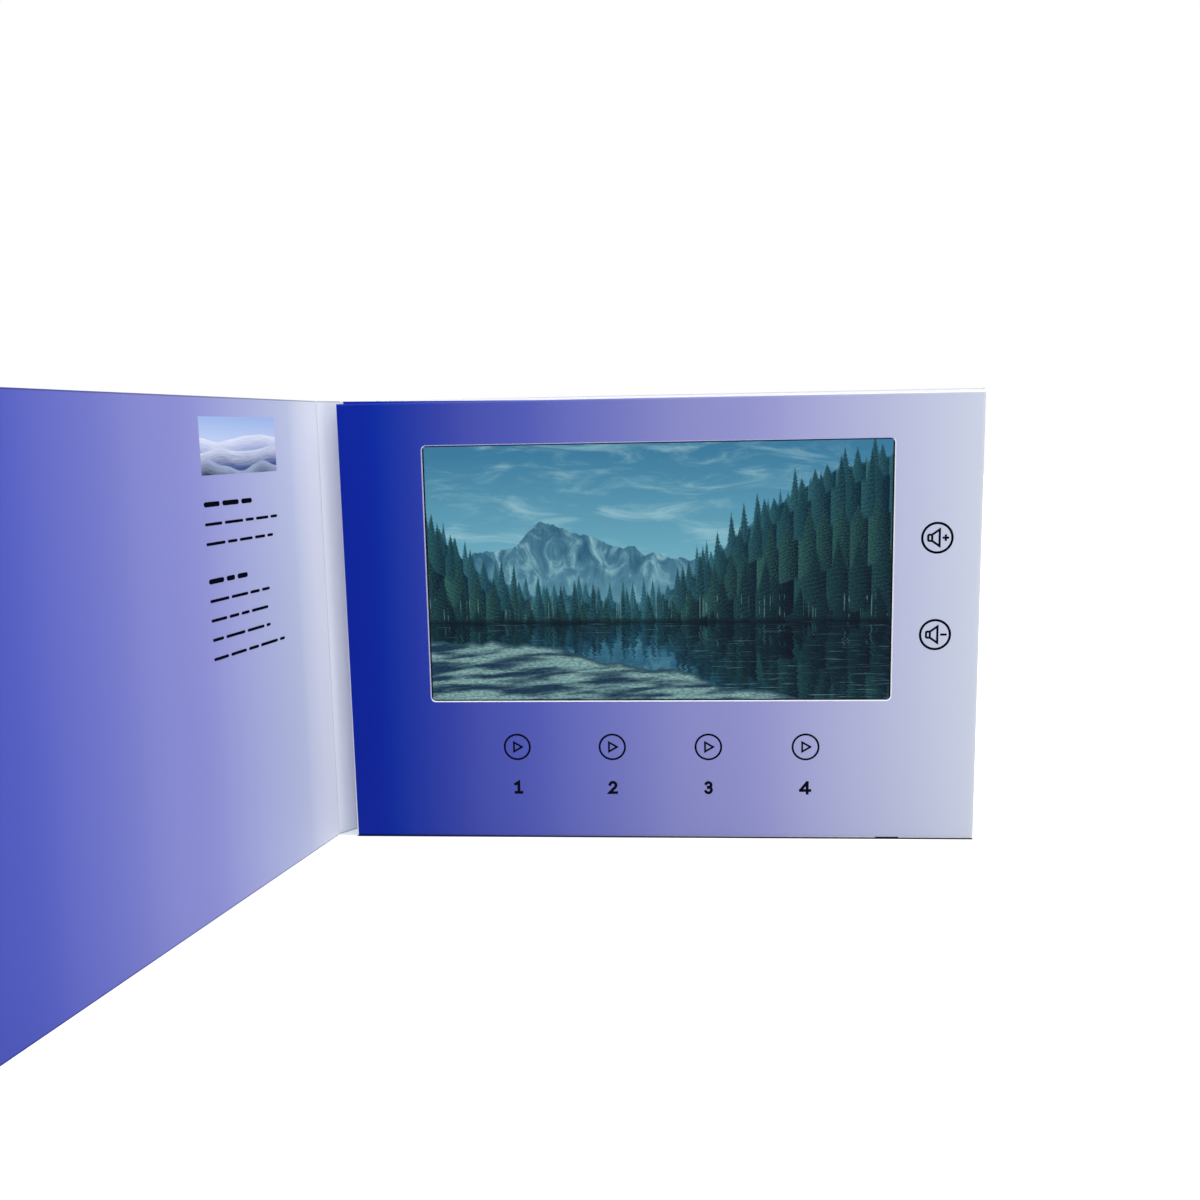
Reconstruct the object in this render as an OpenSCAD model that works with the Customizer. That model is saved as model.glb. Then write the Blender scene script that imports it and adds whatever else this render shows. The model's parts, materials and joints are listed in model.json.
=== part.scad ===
// Softcover video brochure: a landscape block with a seven-inch screen and six keys
// under its printed face, carried by a creased wrap that folds over it as a cover.
// The block stands on its bottom wall, +Z up, with the screen looking along -Y.
// The origin is the middle of the block's bottom wall.

/* [Block] */
// Width of the block's face
page_w = 210; // [190:1:240]
// Height of the block's face
page_h = 148; // [146:1:180]
// Depth of the block, from its face to the back of its glue flaps
block_t = 9; // [8.8:0.1:12]
// Thickness of the card that the tray is folded from
card_t = 0.45; // [0.35:0.05:0.6]
// Outer radius of the tray's folds
fold_r = 0.8; // [0.7:0.1:1.5]
// Width of the glue flaps behind the block
flap_w = 12; // [6:1:16]
// Length of the tabs that are glued inside the tray's corners
tab_l = 8; // [4:1:12]

/* [Wrap] */
// Thickness of the wrap's outer card
wrap_t = 0.4; // [0.3:0.05:0.6]
// Thickness of the sheet that lines the spine and the cover
liner_t = 0.25; // [0.15:0.05:0.4]
// Thickness of the board inside the cover
core_t = 0.5; // [0.5:0.1:1]
// How far the wrap stands above the block's top wall
top_overhang = 1.2; // [0:0.1:4]
// How far the wrap stands past the block's right wall
side_overhang = 2; // [0:0.1:4]
// Half the width of a crease, from its axis to the flat card beside it
crease_half = 0.8; // [0.75:0.05:1.5]
// Gap between the closed cover and the block's face
closed_gap = 0.4; // [0.2:0.1:1]
// Turn of the wrap at its rear crease, as it stands open
rear_turn = 50; // [20:1:90]
// Turn of the wrap at its front crease, as it stands open
front_turn = 27.5; // [10:0.5:90]
// Diameter of the magnet inside the cover
magnet_d = 8; // [5:0.5:12]

/* [Screen] */
// Width of the window in the face
window_w = 153.8; // [138:0.1:154]
// Height of the window in the face
window_h = 86; // [80:0.1:87]
// Card below the window
window_bottom = 47.8; // [47:0.1:50]
// Corner radius of the window
window_r = 1.5; // [0.8:0.1:4]
// Width of the bevel that the die leaves round the window
window_bevel = 0.3; // [0.1:0.05:0.4]
// Width of the screen module
lcd_w = 164.9; // [160:0.1:166]
// Height of the screen module
lcd_h = 100; // [96:0.5:101]
// How far the picture's centre lies above the module's centre
lcd_rise = 2.6; // [1:0.1:3]
// Thickness of the foam tape round the window
tape_t = 0.3; // [0.2:0.05:0.5]
// Thickness of the module's steel bezel
bezel_t = 0.25; // [0.22:0.01:0.4]
// Thickness of the glass cell
glass_t = 0.9; // [0.7:0.1:1.1]
// Thickness of the light guide
guide_t = 1; // [0.6:0.1:1.2]

/* [Keys] */
// Pitch of the video keys
key_pitch = 32.4; // [14:0.1:36]
// Height of the video keys above the floor
video_key_z = 31.8; // [30:0.1:32]
// Distance from the volume keys to the block's right edge
volume_inset = 14.2; // [12:0.1:15]
// Height of the upper volume key above the floor
volume_up_z = 101.5; // [95:0.5:105]
// Height of the lower volume key above the floor
volume_down_z = 69.7; // [65:0.5:80]
// Side of a switch housing
switch_w = 4.5; // [4.5:0.1:6]
// Radius of a switch's plunger
stem_r = 1.1; // [0.8:0.05:1.2]
// Travel of a plunger
key_travel = 0.25; // [0.15:0.01:0.3]
// Running clearance round a plunger
stem_fit = 0.08; // [0.05:0.01:0.1]

/* [Electronics] */
// Distance from the charging socket to the block's right edge
usb_inset = 28.5; // [24:0.5:34]
// Width of the cut-out for the charging socket
usb_cut_w = 7.8; // [7.8:0.1:9]
// Height of the notch that the cut-out leaves in the face
usb_notch = 0.6; // [0.3:0.1:1]
// Width of the main board
board_w = 70; // [66:1:76]
// Height of the main board
board_h = 33; // [30:1:34]
// Width of the battery
battery_w = 70; // [50:1:76]
// Height of the battery
battery_h = 50; // [40:1:60]
// Thickness of the battery
battery_t = 3.6; // [2.5:0.1:3.9]
// Radius of the speaker
speaker_r = 14; // [10:0.5:16]
// Diameter of the leads' insulation
lead_d = 0.9; // [0.6:0.1:1.2]

/* [Hidden] */
$fn = 48;
air = 0.2;

// Depths, from the face towards the back.
y_face = -block_t / 2;
y_back = block_t / 2;
y_in = y_face + card_t;
y_flap = y_back - card_t;
y_lcd = y_in + tape_t;
film_t = 0.2;
sheet_t = 0.3;
mirror_t = 0.1;
floor_t = 0.5;
y_glass = y_lcd + bezel_t;
y_sheets = y_glass + glass_t;
y_guide = y_sheets + sheet_t;
y_mirror = y_guide + guide_t;
y_floor = y_mirror + mirror_t;
y_lcd_back = y_floor + floor_t;

// Window and screen module, seen from the front.
window_z = window_bottom + window_h / 2;
lcd_z = window_z - lcd_rise;
lcd_bottom = lcd_z - lcd_h / 2;
view_edge = 1.2;
view_w = window_w + 2 * view_edge;
view_h = window_h + 2 * view_edge;
frame_wall = 1.2;
pocket_w = lcd_w - 2 * (bezel_t + frame_wall);
pocket_h = lcd_h - 2 * (bezel_t + frame_wall);
cell_w = pocket_w - 2 * air;
cell_h = pocket_h - 2 * air;
led_bay = 2.6;
guide_h = cell_h - led_bay;

// Keys: depths of the plunger, its housing and the boards.
key_gap = 0.1;
stem_rise = 0.5;
plate_t = 0.15;
flange_t = 0.15;
flange_r = stem_r + 0.4;
well_r = flange_r + 0.3;
base_t = 0.2;
y_stem = y_in + key_gap;
y_plate = y_stem + stem_rise;
y_housing = y_plate + plate_t;
y_flange = y_housing + 0.02;
dome_h = key_travel + 0.1;
y_dome = y_flange + flange_t + 0.02;
housing_t = y_dome + dome_h - y_housing + base_t;
key_board_t = 0.8;
y_key_board = y_housing + housing_t;
y_ribbon = y_key_board + key_board_t;
ribbon_t = 0.15;
strip_w = 7.6;
strip_margin = 6;
column_gap = 4.55;
volume_x = page_w / 2 - volume_inset;
window_x = volume_x - strip_w / 2 - column_gap - lcd_w / 2;
video_key_n = 4;
video_row = (video_key_n - 1) / 2 * key_pitch;
video_keys = [for (i = [0 : video_key_n - 1]) [window_x + i * key_pitch - video_row, video_key_z]];
volume_keys = [[volume_x, volume_up_z], [volume_x, volume_down_z]];
keys = concat(video_keys, volume_keys);
sensor_rise = 18;
sensor_z = volume_up_z + sensor_rise;
sensor_w = 3;
sensor_h = 1.6;
sensor_t = 1;

// Main board and the charging socket on its front.
usb_x = page_w / 2 - usb_inset;
usb_w = 7.4;
usb_t = 2.6;
usb_l = 5;
usb_wall = 0.25;
usb_z = 0.2;
link_t = 1.2;
y_board = y_ribbon + ribbon_t + link_t;
y_usb = y_board - usb_t;
board_t = 1;
y_rear = y_board + board_t;
board_gap = 0.5;
board_z = card_t + board_gap;
board_top = board_z + board_h;
board_end = 6.5;
board_x = usb_x + board_end - board_w / 2;
chip_t = 1;
// Each package's place from the board's middle and lower edge, its width, height and thickness.
chips = [
    [4, 15, 10, 10, chip_t],
    [20, 13, 12, 18, chip_t],
    [-9, 14, 5, 4, chip_t],
    [-9, 6, 4, 4, chip_t * 1.4],
    [4, 5, 3.2, 1.5, chip_t * 0.8]
];
socket_t = 1.2;
socket_w = 20;
socket_h = 5;
flex_w = 16;
flex_t = 0.15;
flex_x = board_x + board_w / 8;
link_x = board_x + board_w / 4;
header_inset = 8;
header_rise = 6;
header_pitch = 9;
header_w = 6;
header_h = 4.4;
header_t = 2;
header_x = board_x - board_w / 2 + header_inset;
header_z = board_z + header_rise;
y_lead = y_rear + header_t / 2;

// Battery and speaker behind the screen.
pad_t = 0.15;
y_pad = y_lcd_back;
y_battery = y_pad + pad_t;
battery_side = 3;
battery_x = -battery_w / 2 - battery_side;
battery_z = window_z;
battery_r = 1.6;
terrace_h = 5;
speaker_left = 31;
speaker_x = speaker_left + speaker_r;
speaker_z = window_z;
gasket_t = 0.5;
speaker_gap = 0.1;
y_speaker = y_lcd_back + speaker_gap;
speaker_t = y_flap - gasket_t - y_speaker;

// Foam, spacer, and the gaps round what they hold.
foam_gap = 0.3;
foam_play = 0.05;
foam_edge = 2 * (card_t + foam_play);
y_foam_split = y_lcd_back;

// Wrap: the creases' places and directions, seen from above.
wrap_h = page_h + top_overhang;
crease_fit = 0.02;
y_wrap = y_back + wrap_t / 2;
cover_stack = wrap_t / 2 + core_t + liner_t;
spine_stack = wrap_t / 2 + liner_t;
spine_w = block_t + wrap_t / 2 + closed_gap + cover_stack;
cover_w = page_w + crease_half + side_overhang;
rear_crease_at = [-page_w / 2 - crease_half, y_wrap];
front_crease_at = rear_crease_at - spine_w * [cos(rear_turn), sin(rear_turn)];
cover_turn = rear_turn + front_turn;
magnet_x = cover_w - side_overhang - volume_inset;
board_tone = [0.12, 0.4, 0.25];

// A rectangle with round corners, about its centre.
module round_rect(w, h, r) {
    square([w - 2 * r, h], center = true);
    square([w, h - 2 * r], center = true);
    for (x = [-1, 1], y = [-1, 1]) {
        translate([x * (w / 2 - r), y * (h / 2 - r)])
            circle(r);
    }
}

// A flat piece that faces the reader: its outline is drawn in X and Z, from depth y.
module plate(y, t) {
    translate([0, y + t, 0])
        rotate([90, 0, 0])
            linear_extrude(t)
                children();
}

// A flat rectangle facing the reader, centred on x and z.
module panel(x, z, w, h, y, t) {
    plate(y, t)
        translate([x, z])
            square([w, h], center = true);
}

// A round peg or bore whose axis runs along Y, from depth y.
module peg(x, z, r, y, t) {
    plate(y, t)
        translate([x, z])
            circle(r);
}

// The block's section: a rectangle whose two front corners are round folds.
module folded_section(w, depth, r) {
    translate([-w / 2, r])
        square([w, depth - r]);
    translate([-w / 2 + r, 0])
        square([w - 2 * r, depth]);
    for (side = [-1, 1]) {
        translate([side * (w / 2 - r), r])
            circle(r);
    }
}

// The block's solid form, drawn in by inset on the face and on its four sides.
module folded_block(inset, y_end) {
    depth = y_end - y_face - inset;
    intersection() {
        translate([0, y_face + inset, inset])
            linear_extrude(page_h - 2 * inset)
                folded_section(page_w - 2 * inset, depth, fold_r - inset);
        translate([-page_w / 2, y_face + inset, page_h / 2])
            rotate([90, 0, 90])
                linear_extrude(page_w)
                    rotate(-90)
                        folded_section(page_h - 2 * inset, depth, fold_r - inset);
    }
}

// A section that widens towards the face, for the bevel along two of the window's sides.
module bevel_section(w) {
    polygon([
        [-w / 2, window_bevel],
        [w / 2, window_bevel],
        [w / 2 + window_bevel + 0.1, -0.1],
        [-w / 2 - window_bevel - 0.1, -0.1]
    ]);
}

module window_bevel_cut() {
    straight_w = window_w - 2 * window_r;
    straight_h = window_h - 2 * window_r;
    translate([window_x, y_face, window_z]) {
        translate([0, 0, -straight_h / 2])
            linear_extrude(straight_h)
                bevel_section(window_w);
        translate([-straight_w / 2, 0, 0])
            rotate([90, 0, 90])
                linear_extrude(straight_w)
                    rotate(-90)
                        bevel_section(window_h);
        for (x = [-1, 1], z = [-1, 1]) {
            translate([x * straight_w / 2, -0.1, z * straight_h / 2])
                rotate([-90, 0, 0])
                    cylinder(h = window_bevel + 0.1, r1 = window_r + window_bevel + 0.1, r2 = window_r);
        }
    }
}

// The slit between two glue flaps, cut on the mitre of a corner.
module flap_mitre(side, end) {
    translate([side * page_w / 2, y_flap - 0.1, end > 0 ? page_h : 0])
        rotate([0, side * end > 0 ? 45 : -45, 0])
            translate([side * -flap_w * 1.5, 0, -0.15])
                translate([side < 0 ? -flap_w : 0, 0, 0])
                    cube([flap_w * 2.4, card_t + 0.2, 0.3]);
}

module corner_tab(side, end) {
    tab_x = side * (page_w / 2 - 1.5 * card_t);
    tab_z = end > 0 ? page_h - card_t - tab_l / 2 : card_t + tab_l / 2;
    panel(tab_x, tab_z, card_t, tab_l, y_in + fold_r, y_flap - y_in - fold_r);
}

module face_tray() {
    color([0.6, 0.62, 0.86]) {
        difference() {
            folded_block(0, y_back);
            folded_block(card_t, y_flap);
            panel(0, page_h / 2, page_w - 2 * flap_w, page_h - 2 * flap_w, y_flap - 1, card_t + 2);
            for (side = [-1, 1], end = [-1, 1]) {
                flap_mitre(side, end);
            }
            plate(y_face - 1, card_t + 2)
                translate([window_x, window_z])
                    round_rect(window_w, window_h, window_r);
            window_bevel_cut();
            panel(usb_x, usb_notch / 2 - 1, usb_cut_w, usb_notch + 2, y_face - 1, 1 + y_board - y_face + 0.2);
        }
        for (side = [-1, 1], end = [-1, 1]) {
            corner_tab(side, end);
        }
    }
}

module back_panel() {
    left = -page_w / 2;
    right = page_w / 2 + side_overhang;
    color([0.95, 0.96, 0.98])
        translate([left, y_back, 0])
            cube([right - left, wrap_t, wrap_h]);
}

module screen_tape() {
    color([0.15, 0.15, 0.17])
        plate(y_in, tape_t)
            difference() {
                translate([window_x, lcd_z])
                    square([lcd_w - 1, lcd_h - 1], center = true);
                translate([window_x, window_z])
                    square([view_w, view_h], center = true);
            }
}

// The slot that the screen's flex leaves by, through the bezel and the frame.
module flex_slot() {
    panel(flex_x, lcd_bottom + 1.2, flex_w + 1, 6, y_glass + glass_t / 2 - 0.3, 0.6);
}

module lcd_bezel() {
    bezel_depth = y_floor - y_lcd;
    color([0.72, 0.73, 0.75])
        difference() {
            panel(window_x, lcd_z, lcd_w, lcd_h, y_lcd, bezel_depth);
            panel(window_x, lcd_z, lcd_w - 2 * bezel_t, lcd_h - 2 * bezel_t, y_glass, bezel_depth);
            panel(window_x, window_z, view_w, view_h, y_lcd - 1, bezel_t + 2);
            flex_slot();
        }
}

module lcd_frame() {
    color([0.9, 0.9, 0.88])
        difference() {
            panel(window_x, lcd_z, lcd_w - 2 * bezel_t, lcd_h - 2 * bezel_t, y_glass, y_lcd_back - y_glass);
            panel(window_x, lcd_z, pocket_w, pocket_h, y_glass - 1, y_floor - y_glass + 1);
            flex_slot();
        }
}

module front_film() {
    color([0.1, 0.22, 0.3])
        panel(window_x, window_z, view_w - 2 * air, view_h - 2 * air, y_glass - film_t, film_t);
}

module lcd_glass() {
    color([0.2, 0.35, 0.42])
        panel(window_x, lcd_z, cell_w, cell_h, y_glass, glass_t);
}

// A sheet of the backlight, which stops above the bay of the lamps.
module backlight_sheet(y, t) {
    panel(window_x, lcd_z + led_bay / 2, cell_w, guide_h, y, t);
}

module diffuser_sheets() {
    color([0.95, 0.95, 0.95])
        backlight_sheet(y_sheets, sheet_t);
}

module light_guide() {
    color([0.85, 0.93, 0.96])
        backlight_sheet(y_guide, guide_t);
}

module mirror_sheet() {
    color([0.88, 0.89, 0.9])
        backlight_sheet(y_mirror, mirror_t);
}

module led_strip() {
    led_n = 18;
    led_w = 3;
    led_h = led_bay - 1;
    led_t = 0.6;
    led_z = lcd_z - cell_h / 2 + led_bay - led_h / 2 - air;
    strip_t = 0.15;
    color([0.95, 0.85, 0.45]) {
        panel(window_x, led_z, cell_w - 4, led_h, y_floor - strip_t, strip_t);
        for (i = [0 : led_n - 1]) {
            x = window_x + (i / (led_n - 1) - 0.5) * (cell_w - 10);
            panel(x, led_z, led_w, led_h, y_floor - strip_t - led_t, led_t);
        }
    }
}

// Points on an arc, in degrees, about a centre.
function arc(c, r, from, to, n) =
    [for (i = [0 : n]) let (a = from + (to - from) * i / n) c + r * [cos(a), sin(a)]];

// The direction of a line of points at one of them.
function heading(p, i) =
    let (a = p[max(i - 1, 0)], b = p[min(i + 1, len(p) - 1)])
    (b - a) / norm(b - a);

// The outline of a ribbon of even thickness that follows a line of points.
function ribbon(p, t) = concat(
    [for (i = [0 : len(p) - 1]) let (h = heading(p, i)) p[i] + t / 2 * [-h[1], h[0]]],
    [for (i = [len(p) - 1 : -1 : 0]) let (h = heading(p, i)) p[i] - t / 2 * [-h[1], h[0]]]
);

module screen_flex() {
    bend = 1.2;
    y_start = y_glass + glass_t / 2;
    y_end = y_rear + socket_t / 2;
    z_start = lcd_z - cell_h / 2;
    z_run = lcd_bottom - 0.1 - bend;
    path = concat(
        [[y_start, z_start]],
        arc([y_start + bend, z_run + bend], bend, 180, 270, 6),
        arc([y_end - bend, z_run - bend], bend, 90, 0, 6),
        [[y_end, board_top - 0.4]]
    );
    color([0.85, 0.6, 0.2])
        translate([flex_x - flex_w / 2, 0, 0])
            rotate([90, 0, 90])
                linear_extrude(flex_w)
                    polygon(ribbon(path, flex_t));
}

module main_board() {
    color(board_tone)
        panel(board_x, board_z + board_h / 2, board_w, board_h, y_board, board_t);
}

// The packages soldered to the back of the main board.
module board_chips() {
    color([0.1, 0.1, 0.11]) {
        for (c = chips) {
            panel(board_x + c[0], board_z + c[1], c[2], c[3], y_rear, c[4]);
        }
    }
}

// The clamp socket at the board's top edge, with the mouth that takes the flex.
module flex_socket() {
    color([0.85, 0.82, 0.75])
        difference() {
            panel(flex_x, board_top - 0.4 - socket_h / 2, socket_w, socket_h, y_rear, socket_t);
            panel(flex_x, board_top - 0.4, flex_w + 0.4, 1, y_rear + socket_t / 2 - 0.2, 0.4);
        }
}

// The socket on the board's front that takes the keys' ribbon.
module link_socket() {
    color([0.85, 0.82, 0.75])
        panel(link_x, video_key_z, 6, 4, y_ribbon + ribbon_t, link_t);
}

// Two crimp headers, one for the battery and one for the speaker.
module lead_headers() {
    color([0.93, 0.91, 0.85])
        for (i = [0, 1]) {
            difference() {
                panel(header_x + i * header_pitch, header_z, header_w, header_h, y_rear, header_t);
                panel(header_x + i * header_pitch, header_z + header_h / 2, header_w - 1.2, 3,
                    y_rear + 0.4, 1.2);
            }
        }
}

// The socket's section: a flat mouth whose two rear corners are cut off.
module usb_section(inset) {
    half = usb_w / 2 - inset;
    polygon([
        [-half, inset],
        [half, inset],
        [half, usb_t * 0.6],
        [half - 1 + inset / 2, usb_t - inset],
        [-half + 1 - inset / 2, usb_t - inset],
        [-half, usb_t * 0.6]
    ]);
}

module usb_shell() {
    color([0.78, 0.79, 0.8])
        translate([usb_x, y_usb, usb_z])
            difference() {
                linear_extrude(usb_l)
                    usb_section(0);
                translate([0, 0, -1])
                    linear_extrude(usb_l + 0.4)
                        usb_section(usb_wall);
            }
}

module usb_tongue() {
    tongue_t = 0.6;
    color([0.12, 0.12, 0.13])
        translate([usb_x - 1.9, y_usb + 0.75, usb_z + 0.8])
            cube([3.8, tongue_t, usb_l - 0.6 - 0.8]);
}

// A pouch cell: a slab whose long edges are rolled, with its sealed terrace below.
module battery_cell() {
    body_h = battery_h - terrace_h;
    color([0.75, 0.77, 0.8]) {
        translate([battery_x - battery_w / 2, y_battery, battery_z - battery_h / 2 + terrace_h])
            linear_extrude(body_h)
                translate([battery_w / 2, battery_t / 2])
                    round_rect(battery_w, battery_t, battery_r);
        panel(battery_x, battery_z - battery_h / 2 + terrace_h / 2, battery_w - 4, terrace_h,
            y_battery + battery_t / 2 - 0.1, 0.2);
    }
}

// The tape that closes the terrace over the cell's small protection board.
module battery_wrap() {
    color([0.85, 0.65, 0.15])
        difference() {
            panel(battery_x, battery_z - battery_h / 2 + terrace_h / 2 - 0.2, battery_w - 8, terrace_h - 0.6,
                y_battery + 0.6, battery_t - 1.2);
            panel(battery_x, battery_z - battery_h / 2 + terrace_h / 2, battery_w, terrace_h + 2,
                y_battery + battery_t / 2 - 0.1, 0.2);
        }
}

module battery_pad() {
    color([0.9, 0.9, 0.8])
        panel(battery_x, battery_z + terrace_h / 2, battery_w - 10, battery_h - terrace_h - 6, y_pad, pad_t);
}

function smooth(s) = s * s * (3 - 2 * s);

// A lead's line, which leaves its ends along Z and drifts sideways in between.
function lead_line(a, b, n) =
    [for (i = [0 : n]) let (s = i / n) [a[0] + (b[0] - a[0]) * smooth(s), a[1], a[2] + (b[2] - a[2]) * s]];

// A round lead, as rings of points square to its line.
module lead(p) {
    sides = 8;
    last = len(p) - 1;
    rings = [for (i = [0 : last], k = [0 : sides - 1])
        let (t = heading(p, i), side = cross(t, [0, 1, 0]), a = 360 * (k + 0.5) / sides)
        p[i] + lead_d / 2 * (side / norm(side) * cos(a) + [0, 1, 0] * sin(a))];
    walls = [for (i = [0 : last - 1], k = [0 : sides - 1])
        let (a = i * sides + k, b = i * sides + (k + 1) % sides)
        [a, b, b + sides, a + sides]];
    polyhedron(rings, concat(walls, [
        [for (k = [sides - 1 : -1 : 0]) k],
        [for (k = [0 : sides - 1]) last * sides + k]
    ]));
}

// Two leads side by side, from under one piece down into a header's mouth.
module lead_pair(from_x, from_z, to_x) {
    for (side = [-1, 1]) {
        lead(lead_line(
            [from_x + side * lead_d * 0.7, y_lead, from_z],
            [to_x + side * lead_d * 1.1, y_lead, header_z + header_h / 2 - 1.4],
            18
        ));
    }
}

module battery_leads() {
    color([0.7, 0.1, 0.1])
        lead_pair(battery_x + battery_w / 4, battery_z - battery_h / 2, header_x);
}

module speaker_leads() {
    color([0.1, 0.1, 0.1])
        lead_pair(speaker_x, speaker_z - speaker_r + 0.9, header_x + header_pitch);
}

// The speaker faces the back panel: a pressed cup with a round pot and a tag for its leads.
module speaker_basket() {
    rim_t = 0.6;
    cup_r = speaker_r * 0.62;
    cup_t = speaker_t * 0.45;
    tag_low = speaker_z - speaker_r + 1;
    tag_h = speaker_r - 1 - cup_r - 0.1;
    color([0.5, 0.51, 0.53]) {
        panel(speaker_x, tag_low + tag_h / 2, 6, tag_h, y_lead - 0.3, 0.6);
        translate([speaker_x, y_speaker, speaker_z])
            rotate([-90, 0, 0])
                rotate_extrude($fn = 64)
                    polygon([
                        [cup_r - 0.5, 0],
                        [cup_r, 0],
                        [cup_r + 0.6, cup_t],
                        [speaker_r, speaker_t - rim_t],
                        [speaker_r, speaker_t],
                        [speaker_r - 1.4, speaker_t],
                        [speaker_r - 1.4, speaker_t - rim_t + 0.2],
                        [cup_r - 0.1, cup_t + 0.4],
                        [cup_r - 0.5, 0.4]
                    ]);
    }
}

module speaker_magnet() {
    color([0.3, 0.3, 0.32])
        peg(speaker_x, speaker_z, speaker_r * 0.62 - 0.5, y_speaker, speaker_t * 0.4);
}

// The paper cone with its roll surround and dust cap.
module speaker_cone() {
    edge_r = speaker_r - 1.6;
    cone_t = 0.25;
    rest = speaker_t * 0.62;
    color([0.12, 0.12, 0.12])
        translate([speaker_x, y_speaker, speaker_z])
            rotate([-90, 0, 0])
                rotate_extrude($fn = 64)
                    polygon(concat(
                        [[0, rest]],
                        [[edge_r * 0.45, rest - 0.2]],
                        [[edge_r * 0.75, speaker_t - 0.9]],
                        [[edge_r, speaker_t - 0.3]],
                        [[edge_r, speaker_t - 0.3 + cone_t]],
                        [[edge_r * 0.75, speaker_t - 0.9 + cone_t]],
                        [[edge_r * 0.45, rest - 0.2 + cone_t]],
                        [[0, rest + cone_t]]
                    ));
}

module speaker_gasket() {
    color([0.2, 0.2, 0.2])
        plate(y_speaker + speaker_t, gasket_t)
            translate([speaker_x, speaker_z])
                difference() {
                    circle(speaker_r, $fn = 64);
                    circle(speaker_r - 1.4, $fn = 64);
                }
}

// A narrow key board behind two or more switches.
module video_key_board() {
    span = 2 * (video_row + strip_margin);
    color(board_tone)
        panel(window_x, video_key_z, span, strip_w, y_key_board, key_board_t);
}

module volume_key_board() {
    low = volume_down_z - strip_margin;
    high = sensor_z + 4;
    color(board_tone)
        panel(volume_x, (low + high) / 2, strip_w, high - low, y_key_board, key_board_t);
}

// Foam pads between the switches, which stick both key boards to the face's inside.
module key_pads() {
    pad_l = min(key_pitch - switch_w - 4, 12);
    pad_t = y_key_board - y_in;
    color([0.92, 0.92, 0.85]) {
        for (i = [0 : video_key_n - 2]) {
            panel(window_x + (i + 0.5) * key_pitch - video_row, video_key_z, pad_l, strip_w - 2, y_in, pad_t);
        }
        panel(volume_x, (volume_up_z + volume_down_z) / 2, strip_w - 2, 12, y_in, pad_t);
    }
}

// Foam blocks that hold the main board off the back of the block.
module board_pads() {
    color([0.92, 0.92, 0.85])
        for (side = [-1, 1], end = [-1, 1]) {
            panel(board_x + side * (board_w / 2 - 3), board_z + board_h / 2 + end * (board_h / 2 - 4), 4, 7,
                y_rear, y_flap - y_rear);
        }
}

module switch_housings() {
    color([0.15, 0.15, 0.16])
        for (k = keys) {
            difference() {
                panel(k[0], k[1], switch_w, switch_w, y_housing, housing_t);
                peg(k[0], k[1], well_r, y_housing - 1, housing_t - base_t + 1);
            }
        }
}

// Snap discs: shallow caps that stand on their rims in the housings' wells.
module switch_domes() {
    disc_r = well_r - 0.1;
    disc_t = 0.06;
    color([0.8, 0.78, 0.7])
        for (k = keys) {
            translate([k[0], y_dome, k[1]])
                rotate([-90, 0, 0])
                    rotate_extrude($fn = 32)
                        polygon([
                            [0, 0],
                            [disc_r * 0.5, dome_h * 0.28],
                            [disc_r, dome_h - disc_t],
                            [disc_r, dome_h],
                            [disc_r * 0.5, dome_h * 0.28 + disc_t],
                            [0, disc_t]
                        ]);
        }
}

module switch_plates() {
    color([0.75, 0.76, 0.78])
        for (k = keys) {
            plate(y_plate, plate_t)
                translate(k)
                    difference() {
                        square(switch_w - 0.2, center = true);
                        circle(stem_r + stem_fit);
                    }
        }
}

// A plunger: a stem through the plate and the flange that the plate holds in.
module key_stem(k) {
    color([0.9, 0.9, 0.88]) {
        peg(k[0], k[1], stem_r, y_stem, y_flange - y_stem + flange_t);
        peg(k[0], k[1], flange_r, y_flange, flange_t);
    }
}

module video_key_1() {
    key_stem(video_keys[0]);
}

module video_key_2() {
    key_stem(video_keys[1]);
}

module video_key_3() {
    key_stem(video_keys[2]);
}

module video_key_4() {
    key_stem(video_keys[3]);
}

module volume_up_key() {
    key_stem(volume_keys[0]);
}

module volume_down_key() {
    key_stem(volume_keys[1]);
}

// The flat ribbon that joins both key boards to the main board's socket.
module key_ribbon() {
    width = 4;
    video_end = window_x + video_row;
    top = volume_down_z - strip_margin + 5;
    color([0.9, 0.9, 0.85])
        plate(y_ribbon, ribbon_t) {
            translate([video_end, video_key_z - width / 2])
                square([volume_x + width / 2 - video_end, width]);
            translate([volume_x - width / 2, video_key_z - width / 2])
                square([width, top - video_key_z + width / 2]);
        }
}

module magnet_sensor() {
    color([0.1, 0.1, 0.11])
        panel(volume_x, sensor_z, sensor_w, sensor_h, y_key_board - sensor_t, sensor_t);
}

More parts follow.
